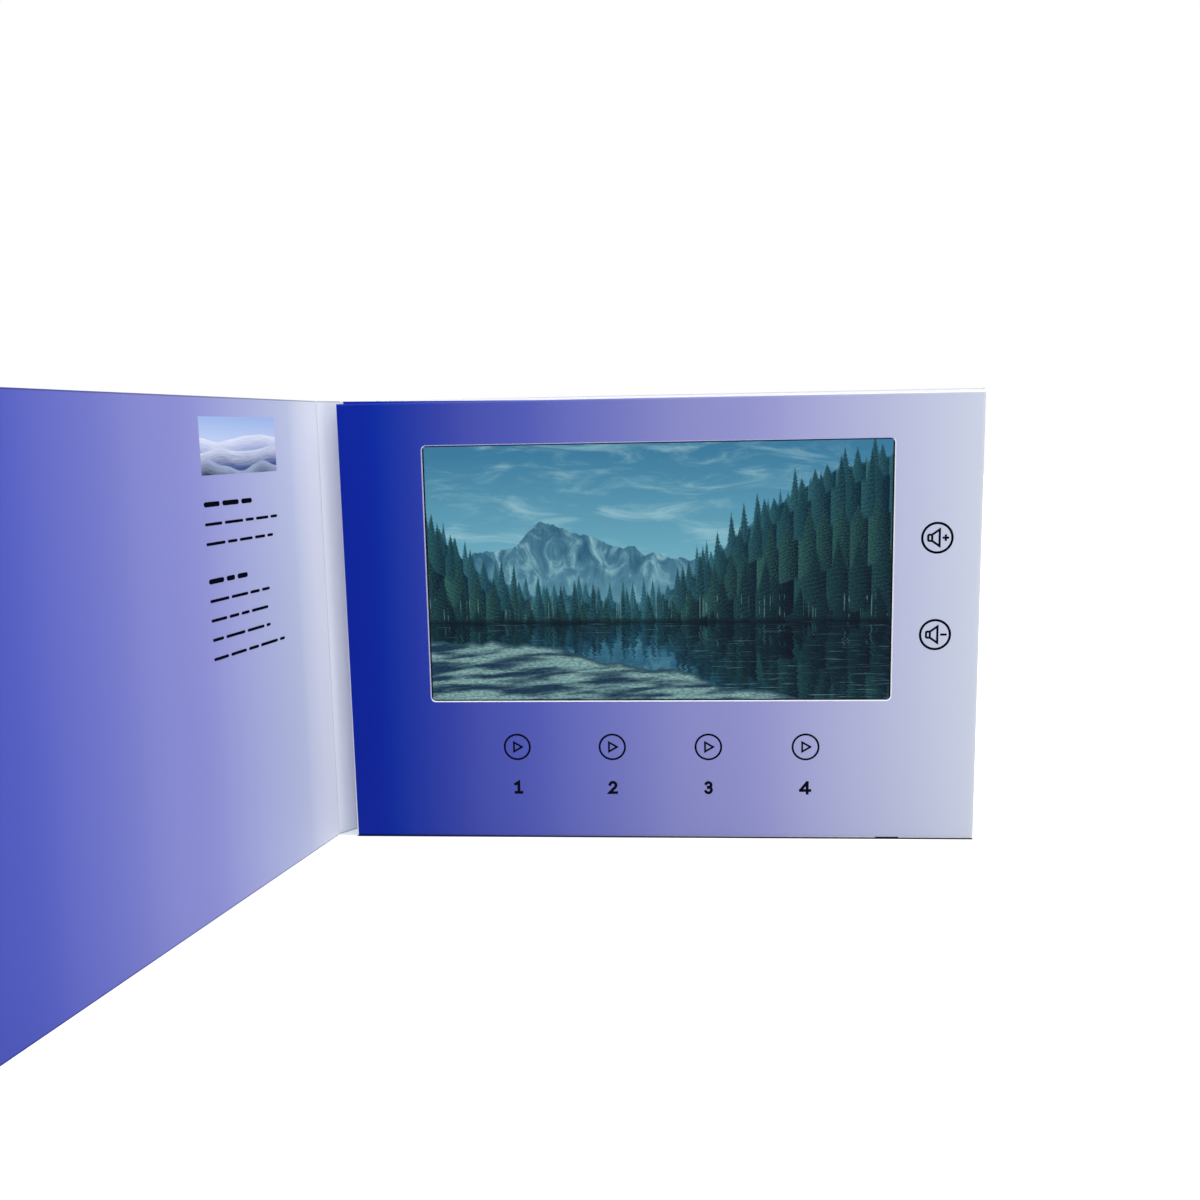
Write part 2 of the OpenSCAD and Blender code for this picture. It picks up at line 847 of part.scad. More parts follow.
// The foam round the screen and the keys, with the main board's bay cut away.
module front_foam() {
    video_span = 2 * (video_row + strip_margin + foam_gap);
    low = volume_down_z - strip_margin - foam_gap;
    high = sensor_z + 4 + foam_gap;
    slot_w = strip_w + 2 * foam_gap;
    bay_top = video_key_z + slot_w / 2;
    bay_left = board_x - board_w / 2 - foam_gap;
    color([0.25, 0.25, 0.27])
        plate(y_in + foam_play, y_foam_split - y_in - 2 * foam_play)
            difference() {
                translate([0, page_h / 2])
                    square([page_w - 2 * foam_edge, page_h - 2 * foam_edge], center = true);
                translate([window_x, lcd_z])
                    square([lcd_w + 2 * foam_gap, lcd_h + 2 * foam_gap], center = true);
                translate([window_x, video_key_z])
                    square([video_span, slot_w], center = true);
                translate([volume_x, (low + high) / 2])
                    square([slot_w, high - low], center = true);
                translate([bay_left, -1])
                    square([volume_x + slot_w / 2 - bay_left, bay_top + 1]);
                translate([flex_x, (bay_top + lcd_z) / 2])
                    square([flex_w + 2, lcd_z - bay_top], center = true);
                translate([volume_x, (low + video_key_z) / 2])
                    square([slot_w, low - video_key_z + 1], center = true);
            }
}

// The foam behind the screen, with pockets for the battery, the speaker and the board.
module rear_foam() {
    bay_left = battery_x;
    bay_right = board_x + board_w / 2 + foam_gap;
    bay_top = battery_z - battery_h / 2 + 1;
    color([0.28, 0.28, 0.3])
        plate(y_foam_split + foam_play, y_flap - y_foam_split - 2 * foam_play)
            difference() {
                translate([0, page_h / 2])
                    square([page_w - 2 * foam_edge, page_h - 2 * foam_edge], center = true);
                translate([battery_x, battery_z])
                    square([battery_w + 2 * foam_gap, battery_h + 2 * foam_gap], center = true);
                translate([speaker_x, speaker_z])
                    circle(speaker_r + foam_gap);
                translate([bay_left, -1])
                    square([bay_right - bay_left, bay_top + 1]);
                translate([speaker_x, (bay_top + speaker_z) / 2 - 1])
                    square([6, speaker_z - bay_top + 2], center = true);
            }
}

// The sheet that fills the step inside the glue flaps.
module back_spacer() {
    color([0.8, 0.78, 0.74])
        panel(0, page_h / 2, page_w - 2 * flap_w - 0.4, page_h - 2 * flap_w - 0.4, y_flap, card_t);
}

// Places what is drawn along +X from a crease, with the inner side of the wrap towards -Y.
module along_wrap(at, turn) {
    translate([at[0], at[1], 0])
        rotate([0, 0, turn])
            mirror([1, 0, 0])
                children();
}

// A flat run of the wrap, from one end to the other, between two depths of the stack.
module wrap_run(start, end, from, t) {
    translate([start, -from - t, 0])
        cube([end - start, t, wrap_h]);
}

// A bent strip of the wrap, tangent to both flats and as thick as each of them at its ends.
module crease_strip(at, turn_in, turn, stack_in, stack_out) {
    r = crease_half / tan(turn / 2);
    steps = 10;
    outer = [for (i = [0 : steps]) let (a = turn * i / steps) (r + wrap_t / 2) * [sin(a), cos(a)]];
    inner = [for (i = [steps : -1 : 0])
        let (a = turn * i / steps, s = stack_in + (stack_out - stack_in) * i / steps)
        (r - s) * [sin(a), cos(a)]];
    color([0.93, 0.94, 0.97])
        along_wrap(at, turn_in)
            translate([-crease_half, -r, 0])
                linear_extrude(wrap_h)
                    polygon(concat(outer, inner));
}

module rear_crease() {
    crease_strip(rear_crease_at, 0, rear_turn, wrap_t / 2, spine_stack);
}

module front_crease() {
    crease_strip(front_crease_at, rear_turn, front_turn, spine_stack, cover_stack);
}

module spine_card() {
    color([0.95, 0.96, 0.98])
        along_wrap(rear_crease_at, rear_turn)
            wrap_run(crease_half + crease_fit, spine_w - crease_half - crease_fit, -wrap_t / 2, wrap_t);
}

module spine_liner() {
    color([0.93, 0.94, 0.97])
        along_wrap(rear_crease_at, rear_turn)
            wrap_run(crease_half + crease_fit, spine_w - crease_half - crease_fit, wrap_t / 2, liner_t);
}

module cover_card() {
    color([0.3, 0.36, 0.75])
        along_wrap(front_crease_at, cover_turn)
            wrap_run(crease_half + crease_fit, cover_w, -wrap_t / 2, wrap_t);
}

module cover_core() {
    color([0.75, 0.73, 0.7])
        along_wrap(front_crease_at, cover_turn)
            difference() {
                wrap_run(crease_half + crease_fit, cover_w, wrap_t / 2, core_t);
                translate([magnet_x, 1, sensor_z])
                    rotate([90, 0, 0])
                        cylinder(h = core_t + 3, d = magnet_d + 2 * air);
            }
}

module cover_liner() {
    color([0.72, 0.75, 0.92])
        along_wrap(front_crease_at, cover_turn)
            wrap_run(crease_half + crease_fit, cover_w, wrap_t / 2 + core_t, liner_t);
}

module cover_magnet() {
    color([0.7, 0.7, 0.72])
        along_wrap(front_crease_at, cover_turn)
            translate([magnet_x, -wrap_t / 2, sensor_z])
                rotate([90, 0, 0])
                    cylinder(h = core_t, d = magnet_d);
}

face_tray();
back_panel();
screen_tape();
lcd_bezel();
front_film();
lcd_glass();
diffuser_sheets();
light_guide();
mirror_sheet();
lcd_frame();
led_strip();
screen_flex();
main_board();
board_chips();
flex_socket();
link_socket();
lead_headers();
usb_shell();
usb_tongue();
battery_cell();
battery_wrap();
battery_pad();
battery_leads();
speaker_basket();
speaker_magnet();
speaker_cone();
speaker_gasket();
speaker_leads();
video_key_board();
volume_key_board();
key_pads();
board_pads();
switch_housings();
switch_domes();
switch_plates();
video_key_1();
video_key_2();
video_key_3();
video_key_4();
volume_up_key();
volume_down_key();
key_ribbon();
magnet_sensor();
front_foam();
rear_foam();
back_spacer();
rear_crease();
spine_card();
spine_liner();
front_crease();
cover_card();
cover_core();
cover_liner();
cover_magnet();
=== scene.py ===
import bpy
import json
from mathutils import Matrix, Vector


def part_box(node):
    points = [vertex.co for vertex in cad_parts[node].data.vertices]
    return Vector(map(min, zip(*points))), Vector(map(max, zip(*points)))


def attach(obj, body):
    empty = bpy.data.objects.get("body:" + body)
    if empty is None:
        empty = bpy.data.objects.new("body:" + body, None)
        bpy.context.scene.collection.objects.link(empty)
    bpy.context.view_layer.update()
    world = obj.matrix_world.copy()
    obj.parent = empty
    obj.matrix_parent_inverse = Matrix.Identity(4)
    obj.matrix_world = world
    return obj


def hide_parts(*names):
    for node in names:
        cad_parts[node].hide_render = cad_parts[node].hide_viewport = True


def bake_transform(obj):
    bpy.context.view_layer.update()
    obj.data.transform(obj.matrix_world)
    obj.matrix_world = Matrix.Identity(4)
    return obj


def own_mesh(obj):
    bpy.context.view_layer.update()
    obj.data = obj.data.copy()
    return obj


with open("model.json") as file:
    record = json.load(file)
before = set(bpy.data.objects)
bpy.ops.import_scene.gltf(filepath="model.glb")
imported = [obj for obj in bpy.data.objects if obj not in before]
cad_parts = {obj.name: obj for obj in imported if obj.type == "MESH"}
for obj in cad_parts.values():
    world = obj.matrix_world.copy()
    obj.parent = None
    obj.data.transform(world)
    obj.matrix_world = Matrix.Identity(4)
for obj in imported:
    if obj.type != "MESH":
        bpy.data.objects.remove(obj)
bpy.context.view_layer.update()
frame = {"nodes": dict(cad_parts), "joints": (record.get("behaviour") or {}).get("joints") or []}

import json
import math
import random

import bpy
from mathutils import Euler, Matrix, Vector

mm = 0.001
print("stage: frame loaded,", len(frame["nodes"]), "nodes")


# numbers that several pieces share, as the CAD has them, in millimetres and degrees
block = {"width": 210.0, "height": 148.0, "depth": 9.0, "wrapHeight": 149.2}
window = {"height": 86.0, "bottom": 47.8}
wrap = {"card": 0.4, "liner": 0.25, "core": 0.5, "creaseHalf": 0.8, "coverWidth": 212.8}
turns = {"rear": 50.0, "front": 27.5}
faceY = -block["depth"] / 2
windowMiddle = window["bottom"] + window["height"] / 2
spineStack = wrap["card"] / 2 + wrap["liner"]
coverStack = spineStack + wrap["core"]
rearCrease, frontCrease = [Vector(j["pos_m"]) for j in frame["joints"] if j["type"] == "hinge"]


def inwardAfter(turn):
    angle = math.radians(turn)
    return Vector((math.sin(angle), -math.cos(angle), 0))


# the ways that the insides of the spine and the cover face, and the way to the cover's free edge
spineInward = inwardAfter(turns["rear"])
coverInward = inwardAfter(turns["rear"] + turns["front"])
coverAlong = Vector((coverInward.y, -coverInward.x, 0))


# camera, at the photograph's viewing angle
camera = {"place": (6.5, -375.6, 136.5), "turn": (81.6814, 1.0552, 3.7601), "lens": 33.93, "sensor": 36.0,
          "near": 5.0, "far": 50000.0}


def makeCamera(values):
    data = bpy.data.cameras.new("camera")
    data.lens = values["lens"]
    data.sensor_width = values["sensor"]
    data.clip_start = values["near"] * mm
    data.clip_end = values["far"] * mm
    made = bpy.data.objects.new("camera", data)
    made.location = Vector(values["place"]) * mm
    made.rotation_euler = Euler([math.radians(a) for a in values["turn"]], "XYZ")
    bpy.context.scene.collection.objects.link(made)
    bpy.context.scene.camera = made


makeCamera(camera)
print("stage: camera")


# colours, given as a screen shows them
def tone(red, green, blue):
    def linear(value):
        value = value / 255
        return value / 12.92 if value <= 0.04045 else ((value + 0.055) / 1.055) ** 2.4
    return (linear(red), linear(green), linear(blue), 1.0)


def grey(level):
    return (level, level, level, 1.0)


# small helpers for materials
class Amount:
    # a number that varies over a surface: a shader node's output that can be calculated with
    def __init__(self, finish, socket):
        self.finish = finish
        self.socket = socket

    def __add__(self, other):
        return self.finish.calc("ADD", self, other)

    def __sub__(self, other):
        return self.finish.calc("SUBTRACT", self, other)

    def __rsub__(self, other):
        return self.finish.calc("SUBTRACT", other, self)

    def __mul__(self, other):
        return self.finish.calc("MULTIPLY", self, other)

    def __truediv__(self, other):
        return self.finish.calc("DIVIDE", self, other)

    def __abs__(self):
        return self.finish.calc("ABSOLUTE", self)


class Finish:
    def __init__(self, name):
        self.material = bpy.data.materials.new(name)
        self.material.use_nodes = True
        self.tree = self.material.node_tree
        self.shader = self.tree.nodes["Principled BSDF"]
        self.texture = self.add("TexCoord")
        self.place = self.texture.outputs["Object"]
        self.x, self.y, self.z = self.split(self.place)

    def add(self, kind, inputs=None, **settings):
        node = self.tree.nodes.new("ShaderNode" + kind)
        for key, value in settings.items():
            setattr(node, key, value)
        for key, value in (inputs or {}).items():
            self.feed(node.inputs[key], value)
        return node

    def feed(self, socket, value):
        if isinstance(value, Amount):
            value = value.socket
        if isinstance(value, bpy.types.NodeSocket):
            self.tree.links.new(value, socket)
        else:
            socket.default_value = value

    def calc(self, operation, first, second=0.0, clamp=False):
        node = self.add("Math", {0: first, 1: second}, operation=operation, use_clamp=clamp)
        return Amount(self, node.outputs[0])

    def split(self, vector):
        return [Amount(self, part) for part in self.add("SeparateXYZ", {0: vector}).outputs]

    def join(self, x, y, z=0.0):
        return self.add("CombineXYZ", {0: x, 1: y, 2: z}).outputs[0]

    def stretch(self, vector, scale, shift=(0, 0, 0)):
        inputs = {"Vector": vector, "Scale": scale, "Location": shift}
        return self.add("Mapping", inputs).outputs[0]

    def noise(self, vector, scale, detail=3.0, roughness=0.5, distortion=0.0):
        inputs = {"Vector": vector, "Scale": scale, "Detail": detail, "Roughness": roughness,
                  "Distortion": distortion}
        return Amount(self, self.add("TexNoise", inputs).outputs["Fac"])

    def lineNoise(self, along, scale, seed, detail=4.0, roughness=0.5):
        inputs = {"W": along + seed, "Scale": scale, "Detail": detail, "Roughness": roughness}
        return Amount(self, self.add("TexNoise", inputs, noise_dimensions="1D").outputs["Fac"])

    def mix(self, factor, first, second, way="MIX"):
        node = self.add("Mix", data_type="RGBA", blend_type=way)
        self.feed(node.inputs[0], factor)
        self.feed(node.inputs[6], first)
        self.feed(node.inputs[7], second)
        return node.outputs[2]

    def darken(self, mask, colour, shade):
        return self.mix(mask, colour, shade, "MULTIPLY")

    def ramp(self, factor, stops, way="LINEAR"):
        node = self.add("ValToRGB", {0: factor})
        band = node.color_ramp
        band.interpolation = way
        while len(band.elements) < len(stops):
            band.elements.new(0.5)
        for element, (at, colour) in zip(band.elements, stops):
            element.position = at
            element.color = colour
        return node.outputs[0]

    def step(self, value, low, high):
        inputs = {"Value": value, "From Min": low, "From Max": high}
        node = self.add("MapRange", inputs, interpolation_type="SMOOTHSTEP")
        return Amount(self, node.outputs[0])

    def past(self, value, soft):
        return self.step(value, -soft, soft)

    def between(self, value, low, high, soft):
        return self.step(value, low - soft, low + soft) * self.step(value, high + soft, high - soft)

    def spread(self, value, low, high):
        return self.add("MapRange", {"Value": value, "To Min": low, "To Max": high}).outputs[0]

    def bump(self, height, depth, strength=1.0, under=None):
        inputs = {"Height": height, "Distance": depth, "Strength": strength}
        if under is not None:
            inputs["Normal"] = under
        return self.add("Bump", inputs).outputs[0]

    def dot(self, vector, direction):
        inputs = {0: vector, 1: tuple(direction)}
        node = self.add("VectorMath", inputs, operation="DOT_PRODUCT")
        return Amount(self, node.outputs["Value"])

    def facing(self, direction):
        return self.dot(self.texture.outputs["Normal"], direction)

    def reach(self, origin, direction):
        inputs = {0: self.place, 1: tuple(origin)}
        away = self.add("VectorMath", inputs, operation="SUBTRACT").outputs[0]
        return self.dot(away, direction)

    def set(self, **values):
        names = {"colour": "Base Color", "rough": "Roughness", "metal": "Metallic", "normal": "Normal",
                 "coat": "Coat Weight", "gloss": "Specular IOR Level", "clear": "Transmission Weight",
                 "light": "Emission Color", "lightPower": "Emission Strength", "sheen": "Sheen Weight",
                 "brush": "Anisotropic"}
        for key, value in values.items():
            self.feed(self.shader.inputs[names[key]], value)
        return self.material


def dress(piece, material):
    piece.data.materials.clear()
    piece.data.materials.append(material)
    for face in piece.data.polygons:
        face.material_index = 0
    return piece


def dressNode(name, material):
    dress(frame["nodes"][name], material)


# small helpers for meshes
def meshPiece(name, points, faces, smooth=False):
    mesh = bpy.data.meshes.new(name)
    mesh.from_pydata([tuple(p) for p in points], [], faces)
    mesh.update()
    for face in mesh.polygons:
        face.use_smooth = smooth
    made = bpy.data.objects.new(name, mesh)
    bpy.context.scene.collection.objects.link(made)
    return made


def bandFaces(count, low, high):
    # the faces between two closed rings of points, whose first points have the numbers low and high
    return [[low + i, low + (i + 1) % count, high + (i + 1) % count, high + i] for i in range(count)]


def arc(x, z, radius, first, last, count=20):
    turn = [math.radians(first + (last - first) * i / count) for i in range(count + 1)]
    return [(x + radius * math.cos(a), z + radius * math.sin(a)) for a in turn]


# card and paper, with sizes in millimetres
cardLook = {"fibreSize": 0.9, "fibreDepth": 0.006, "waveDepth": 0.25, "blotch": 0.02, "rough": 0.46,
            "gloss": 0.06}
paper = tone(244, 245, 250)
paperBlotch = 0.03


def cardSurface(finish, look=cardLook):
    stretched = finish.stretch(finish.place, (1, 1, 2.2))
    fibres = finish.noise(stretched, 1 / (look["fibreSize"] * mm), detail=5, roughness=0.65, distortion=0.4)
    waves = finish.noise(finish.place, 14, detail=2)
    normal = finish.bump(fibres, look["fibreDepth"] * mm)
    normal = finish.bump(waves, look["waveDepth"] * mm, 0.6, normal)
    rough = finish.spread(fibres, look["rough"] - 0.05, look["rough"] + 0.08)
    finish.set(normal=normal, rough=rough, gloss=look["gloss"])
    return fibres


def toned(finish, colour, fibres, amount):
    low = tuple(c * (1 - amount) for c in colour[:3]) + (1,)
    high = tuple(min(1, c * (1 + amount)) for c in colour[:3]) + (1,)
    return finish.mix(fibres, low, high)


def plainCard(name, colour, look=cardLook):
    finish = Finish(name)
    fibres = cardSurface(finish, look)
    return finish.set(colour=toned(finish, colour, fibres, look["blotch"]))


boardCard = dict(cardLook, blotch=0.12, rough=0.8, fibreDepth=0.02)
greyBoard = plainCard("greyBoard", tone(190, 185, 178), boardCard)

# the wash over every printed side, from deep blue to pale lilac, and on to nearly white at the folds
wash = [(0.0, tone(0, 32, 157)), (0.065, tone(6, 44, 162)), (0.185, tone(64, 75, 172)),
        (0.31, tone(90, 98, 184)), (0.47, tone(125, 128, 195)), (0.66, tone(151, 153, 206)),
        (0.925, tone(192, 198, 222)), (1.0, tone(219, 221, 233))]
washEnd = 1.07
washLook = {"drift": 0.012, "speck": 0.006}
# how each side takes the print: painted shade that makes it darker towards its foot, and its tint
faceTone = {"low": 0.91, "tint": (1.0, 1.0, 0.92)}
coverTone = {"low": 0.92, "tint": (0.95, 0.965, 1.0)}
wrapTone = {"low": 1.0, "tint": (0.96, 0.975, 1.0)}


def washed(finish, share, side, look=washLook):
    drift = finish.noise(finish.stretch(finish.place, (1, 1, 0.35)), 26)
    moved = drift * look["drift"] + (share - look["drift"] / 2)
    speck = finish.noise(finish.place, 5200, detail=1)
    inked = finish.ramp(moved / washEnd, wash, "CARDINAL")
    inked = finish.mix(speck * look["speck"], inked, paper)
    # painted shade: the print grows darker towards the foot of each side
    up = finish.calc("DIVIDE", finish.z, block["height"] * mm, clamp=True)
    foot = tuple(c * side["low"] for c in side["tint"])
    footShade = finish.ramp(up, [(0.0, foot + (1,)), (1.0, side["tint"] + (1,))])
    return finish.darken(1.0, inked, footShade)


def faceShare(finish):
    return (finish.x + block["width"] / 2 * mm) / (block["width"] * mm)


# the print ends at a line that runs a little askew, over the strip above the face and then over the block's
# upper fold, each part given by its height at the left end and its fall from left to right
printTop = {"strip": (149.1, 2.6), "fold": (148.2, 0.45), "soft": 0.06}


def underPrintTop(finish, share, values=printTop):
    lines = [share * (-fall * mm) + start * mm for start, fall in (values["strip"], values["fold"])]
    return finish.past(finish.calc("MAXIMUM", *lines) - finish.z, values["soft"] * mm)


# painted shade: thin darker lines along the top and bottom edges of the sheets, and along the top of the
# strip above the face
edgeShade = {"width": 0.4, "soft": 0.08, "shade": 0.62}
stripShade = {"width": 0.26, "shade": 0.72, "from": 0.08, "to": 0.42}


def cutEdges(finish):
    low, high = edgeShade["width"] * mm, (block["wrapHeight"] - edgeShade["width"]) * mm
    return 1.0 - finish.between(finish.z, low, high, edgeShade["soft"] * mm)


def stripTop(finish):
    limit, soft = (block["wrapHeight"] - stripShade["width"]) * mm, edgeShade["soft"] * mm
    line = finish.step(finish.z, limit - soft, limit + soft)
    return line * finish.step(faceShare(finish), stripShade["from"], stripShade["to"])


# how squarely a spot has to face a side for it to take that side's print
sameSide = (0.8, 0.9)


def printedSheet(name, side, findShare, sideTone=wrapTone, strip=False):
    finish = Finish(name)
    white = toned(finish, paper, cardSurface(finish), paperBlotch)
    printed = finish.step(finish.facing(side), *sameSide)
    colour = finish.mix(printed, white, washed(finish, findShare(finish), sideTone))
    # painted shade along the top and bottom edges of the plain sheets
    if not strip:
        return finish.set(colour=finish.darken(cutEdges(finish), colour, grey(edgeShade["shade"])))
    # the other side of the rear panel shows above the face, and the face's print runs on over it
    share = faceShare(finish)
    front = finish.step(finish.facing([-c for c in side]), *sameSide) * underPrintTop(finish, share)
    colour = finish.mix(front, colour, washed(finish, share, faceTone))
    # painted shade along the top of the strip, fading in from the left
    return finish.set(colour=finish.darken(stripTop(finish), colour, grey(stripShade["shade"])))


# the printed face of the tray, with places in millimetres, and the painted shade and painted highlight along
# its lower and right folds
facePrint = {"left": -104.55, "lean": 0.3, "soft": 0.05, "flat": (0.93, 0.97), "fold": (0.64, 0.7),
             "foldFrom": 2.0, "foldTo": 1.0, "upper": (0.02, 0.1), "sillShade": 0.3, "sillShadeTop": 0.1,
             "lipHighlight": 0.95, "lipHighlightTop": 0.62, "lipHighlightGrowth": 2.5, "rimShade": 0.87, "rimShadeWidth": 0.4,
             "bevel": (0.8, 0.95), "bevelTop": (0.5, 0.8), "bevelShade": (0.42, 0.42, 0.62, 1)}
aslant = math.sqrt(0.5)


def printLimit(finish, share, values):
    # the print runs on round the folds, but leaves most of the left one and the upper wall white
    x, z = finish.x, finish.z
    right, top = block["width"] / 2 * mm, block["height"] * mm
    start, end = values["foldFrom"] * mm, values["foldTo"] * mm
    forward = finish.facing((0, -1, 0))
    upper = finish.step(forward, *values["upper"]) * underPrintTop(finish, share)
    folds = {(0, -aslant, -aslant): finish.step(z, start, end),
             (aslant, -aslant, 0): finish.step(x, right - start, right - end),
             (-aslant, -aslant, 0): finish.step(x, start - right, end - right),
             (0, -aslant, aslant): finish.step(z, top - start, top - end) * upper}
    mask = finish.step(forward, *values["flat"])
    for direction, near in folds.items():
        fold = near * finish.step(finish.facing(direction), *values["fold"])
        mask = finish.calc("MAXIMUM", mask, fold)
    left = z * (values["lean"] / block["height"]) + (x - values["left"] * mm)
    return mask * finish.past(left, values["soft"] * mm)


def dimBevel(finish, values):
    # the window's bevel takes less light at its left and upper sides
    left = finish.step(finish.facing((aslant, -aslant, 0)), *values["bevel"])
    left = left * finish.step(finish.x, 0.0, -block["width"] / 4 * mm)
    top = finish.step(finish.facing((0, -aslant, -aslant)), *values["bevel"])
    low, high = (share * block["height"] * mm for share in values["bevelTop"])
    return finish.calc("MAXIMUM", left, top * finish.step(finish.z, low, high))


def printedFace(values):
    finish = Finish("printedFace")
    share = faceShare(finish)
    white = toned(finish, paper, cardSurface(finish), paperBlotch)
    white = finish.darken(dimBevel(finish, values), white, values["bevelShade"])
    colour = finish.mix(printLimit(finish, share, values), white, washed(finish, share, faceTone))
    # painted shade where the lower fold turns under, a painted highlight above it that grows towards the
    # right, and painted shade along the right fold
    soft, sillShadeTop, lipHighlightTop = values["soft"] * mm, values["sillShadeTop"] * mm, values["lipHighlightTop"] * mm
    lipHighlight = finish.between(finish.z, sillShadeTop, lipHighlightTop, soft) * values["lipHighlight"]
    colour = finish.mix(lipHighlight * finish.calc("POWER", share, values["lipHighlightGrowth"]), colour, paper)
    colour = finish.darken(finish.between(finish.z, soft, sillShadeTop, soft), colour, grey(values["sillShade"]))
    rimShadeStart = (block["width"] / 2 - values["rimShadeWidth"]) * mm
    rimShade = finish.step(finish.x, rimShadeStart - soft, rimShadeStart + soft)
    return finish.set(colour=finish.darken(rimShade, colour, grey(values["rimShade"])))


dressNode("face_tray", printedFace(facePrint))


# the wrap's sheets: the same wash, deep at the cover's free edge and pale at the folds
wrapPrint = {"pale": 1.07, "coverPale": 1.12, "fall": 1.58, "bend": 0.46, "rearDeep": 0.25}


def coverShare(finish):
    reach = finish.reach(frontCrease, coverAlong)
    away = finish.calc("DIVIDE", reach, wrap["coverWidth"] * mm, clamp=True)
    return away * (away * wrapPrint["bend"] - wrapPrint["fall"]) + wrapPrint["coverPale"]


def paleShare(finish):
    return wrapPrint["pale"]


def rearShare(finish):
    return faceShare(finish) * (wrapPrint["rearDeep"] - wrapPrint["pale"]) + wrapPrint["pale"]


dressNode("cover_liner", printedSheet("coverInside", coverInward, coverShare, coverTone))
dressNode("cover_card", printedSheet("coverOutside", -coverInward, coverShare, coverTone))
dressNode("spine_liner", printedSheet("spineInside", spineInward, paleShare))
dressNode("spine_card", printedSheet("spineOutside", -spineInward, paleShare))
dressNode("back_panel", printedSheet("rearOutside", (0, 1, 0), rearShare, strip=True))
dressNode("cover_core", greyBoard)
dressNode("back_spacer", greyBoard)
print("stage: card, board and print")


# the lit screen: a lake under hills, drawn from noise, with the panel's sizes in millimetres and the rest
# in shares of the picture's width and height
screen = {"width": 152.9, "height": 85.3, "ratio": 1.79, "shore": 0.31, "sway": 0.06, "aside": 0.45,
          "valley": 0.36, "climb": 2.9, "sink": 0.02, "power": 1.22, "contrast": 1.32, "rowPitch": 0.55,
          "soft": 0.08}
# rows of conifers from the far side to the near one
treeRows = [
    {"foot": 0.10, "rise": 0.17, "tall": 0.10, "trees": 44, "seed": 3,
     "dark": (34, 84, 100), "pale": (92, 140, 150)},
    {"foot": 0.07, "rise": 0.20, "tall": 0.11, "trees": 36, "seed": 8,
     "dark": (18, 64, 80), "pale": (80, 128, 134)},
    {"foot": 0.03, "rise": 0.19, "tall": 0.12, "trees": 30, "seed": 15,
     "dark": (10, 46, 66), "pale": (66, 116, 118)},
    {"foot": 0.0, "rise": 0.15, "tall": 0.12, "trees": 25, "seed": 21,
     "dark": (6, 36, 56), "pale": (74, 120, 112)},
    {"foot": -0.04, "rise": 0.10, "tall": 0.12, "trees": 20, "seed": 27,
     "dark": (4, 26, 46), "pale": (54, 98, 98)},
    {"foot": -0.07, "rise": 0.05, "tall": 0.11, "trees": 17, "seed": 34,
     "dark": (2, 20, 40), "pale": (44, 86, 90)},
]
# a conifer's height, outline and light, in shares of its own height and of the room it stands in
conifer = {"scatter": 0.85, "least": 0.35, "vary": 0.75, "boughs": 7.0, "wide": 0.26, "droop": 0.16,
           "needles": 150, "fray": 0.3, "edge": (-0.03, 0.05), "tip": (1.0, 0.97), "thicket": (0.12, -0.1),
           "sideLight": -0.45, "boughLight": 0.22, "needleLight": 1.5, "dim": 0.44}
# the ground in front: its rise to the left, its stones and its shadows
bank = {"flat": 0.95, "full": 0.1, "rise": 0.24, "sunk": 0.07, "uneven": 0.12, "stones": 60,
        "lean": -2.6, "shadows": (0.4, 0.6)}


def sky(finish, spot, height):
    blues = [(0.0, tone(158, 196, 200)), (0.3, tone(120, 172, 188)), (0.66, tone(80, 136, 164))]
    clouds = finish.noise(finish.stretch(spot, (2.0, 8, 1), (3, 1, 0)), 1.5, 7, 0.62, 0.8)
    clouds = finish.step(clouds, 0.46, 0.76) * 0.6
    return finish.mix(clouds, finish.ramp(height, blues), tone(176, 204, 208))


def farHills(finish, colour, across, height, spot):
    top = finish.lineNoise(across, 3.1, 4.7, 7) * 0.44 + 0.06
    rock = finish.noise(finish.stretch(spot, (9, 6, 1), (1, 7, 0)), 1.6, 7, 0.62, 1.0)
    greys = [(0.34, tone(64, 108, 132)), (0.52, tone(92, 136, 154)), (0.66, tone(146, 182, 190))]
    slopes = finish.mix(finish.step(height, 0.28, 0.0), finish.ramp(rock, greys), tone(112, 156, 170))
    return finish.mix(finish.past(top - height, 0.002), colour, slopes)


def conifers(finish, across, height, foot, row, values):
    place = across + row["seed"]
    inputs = {"W": place, "Scale": row["trees"], "Randomness": values["scatter"]}
    cells = finish.add("TexVoronoi", inputs, voronoi_dimensions="1D").outputs
    aside = (place - cells["W"]) * row["trees"]
    tall = finish.split(cells["Color"])[0] * (values["vary"] * row["tall"]) + values["least"] * row["tall"]
    share = (height - foot) / tall
    boughs = finish.calc("FRACT", share * -values["boughs"])
    spot = finish.join(across * screen["ratio"], height, row["seed"])
    needles = finish.noise(spot, values["needles"], roughness=0.7)
    spread = (1.0 - share) * (boughs * values["droop"] + values["wide"]) + (needles - 0.5) * values["fray"]
    crown = finish.step(spread - abs(aside), *values["edge"]) * finish.step(share, *values["tip"])
    lit = aside * values["sideLight"] + boughs * values["boughLight"]
    lit = lit + (needles * values["needleLight"] - values["dim"])
    return finish.calc("MAXIMUM", crown, finish.step(share, *values["thicket"])), lit


def trunks(finish, across, height):
    lines = finish.step(finish.lineNoise(across, 210, 3.3, 1, 0.4), 0.62, 0.66)
    lean = finish.step(finish.noise(finish.join(across * 30, height * 7), 1.5, 3, 0.6), 0.46, 0.56)
    return lines * lean * finish.between(height, 0.012, 0.10, 0.012)


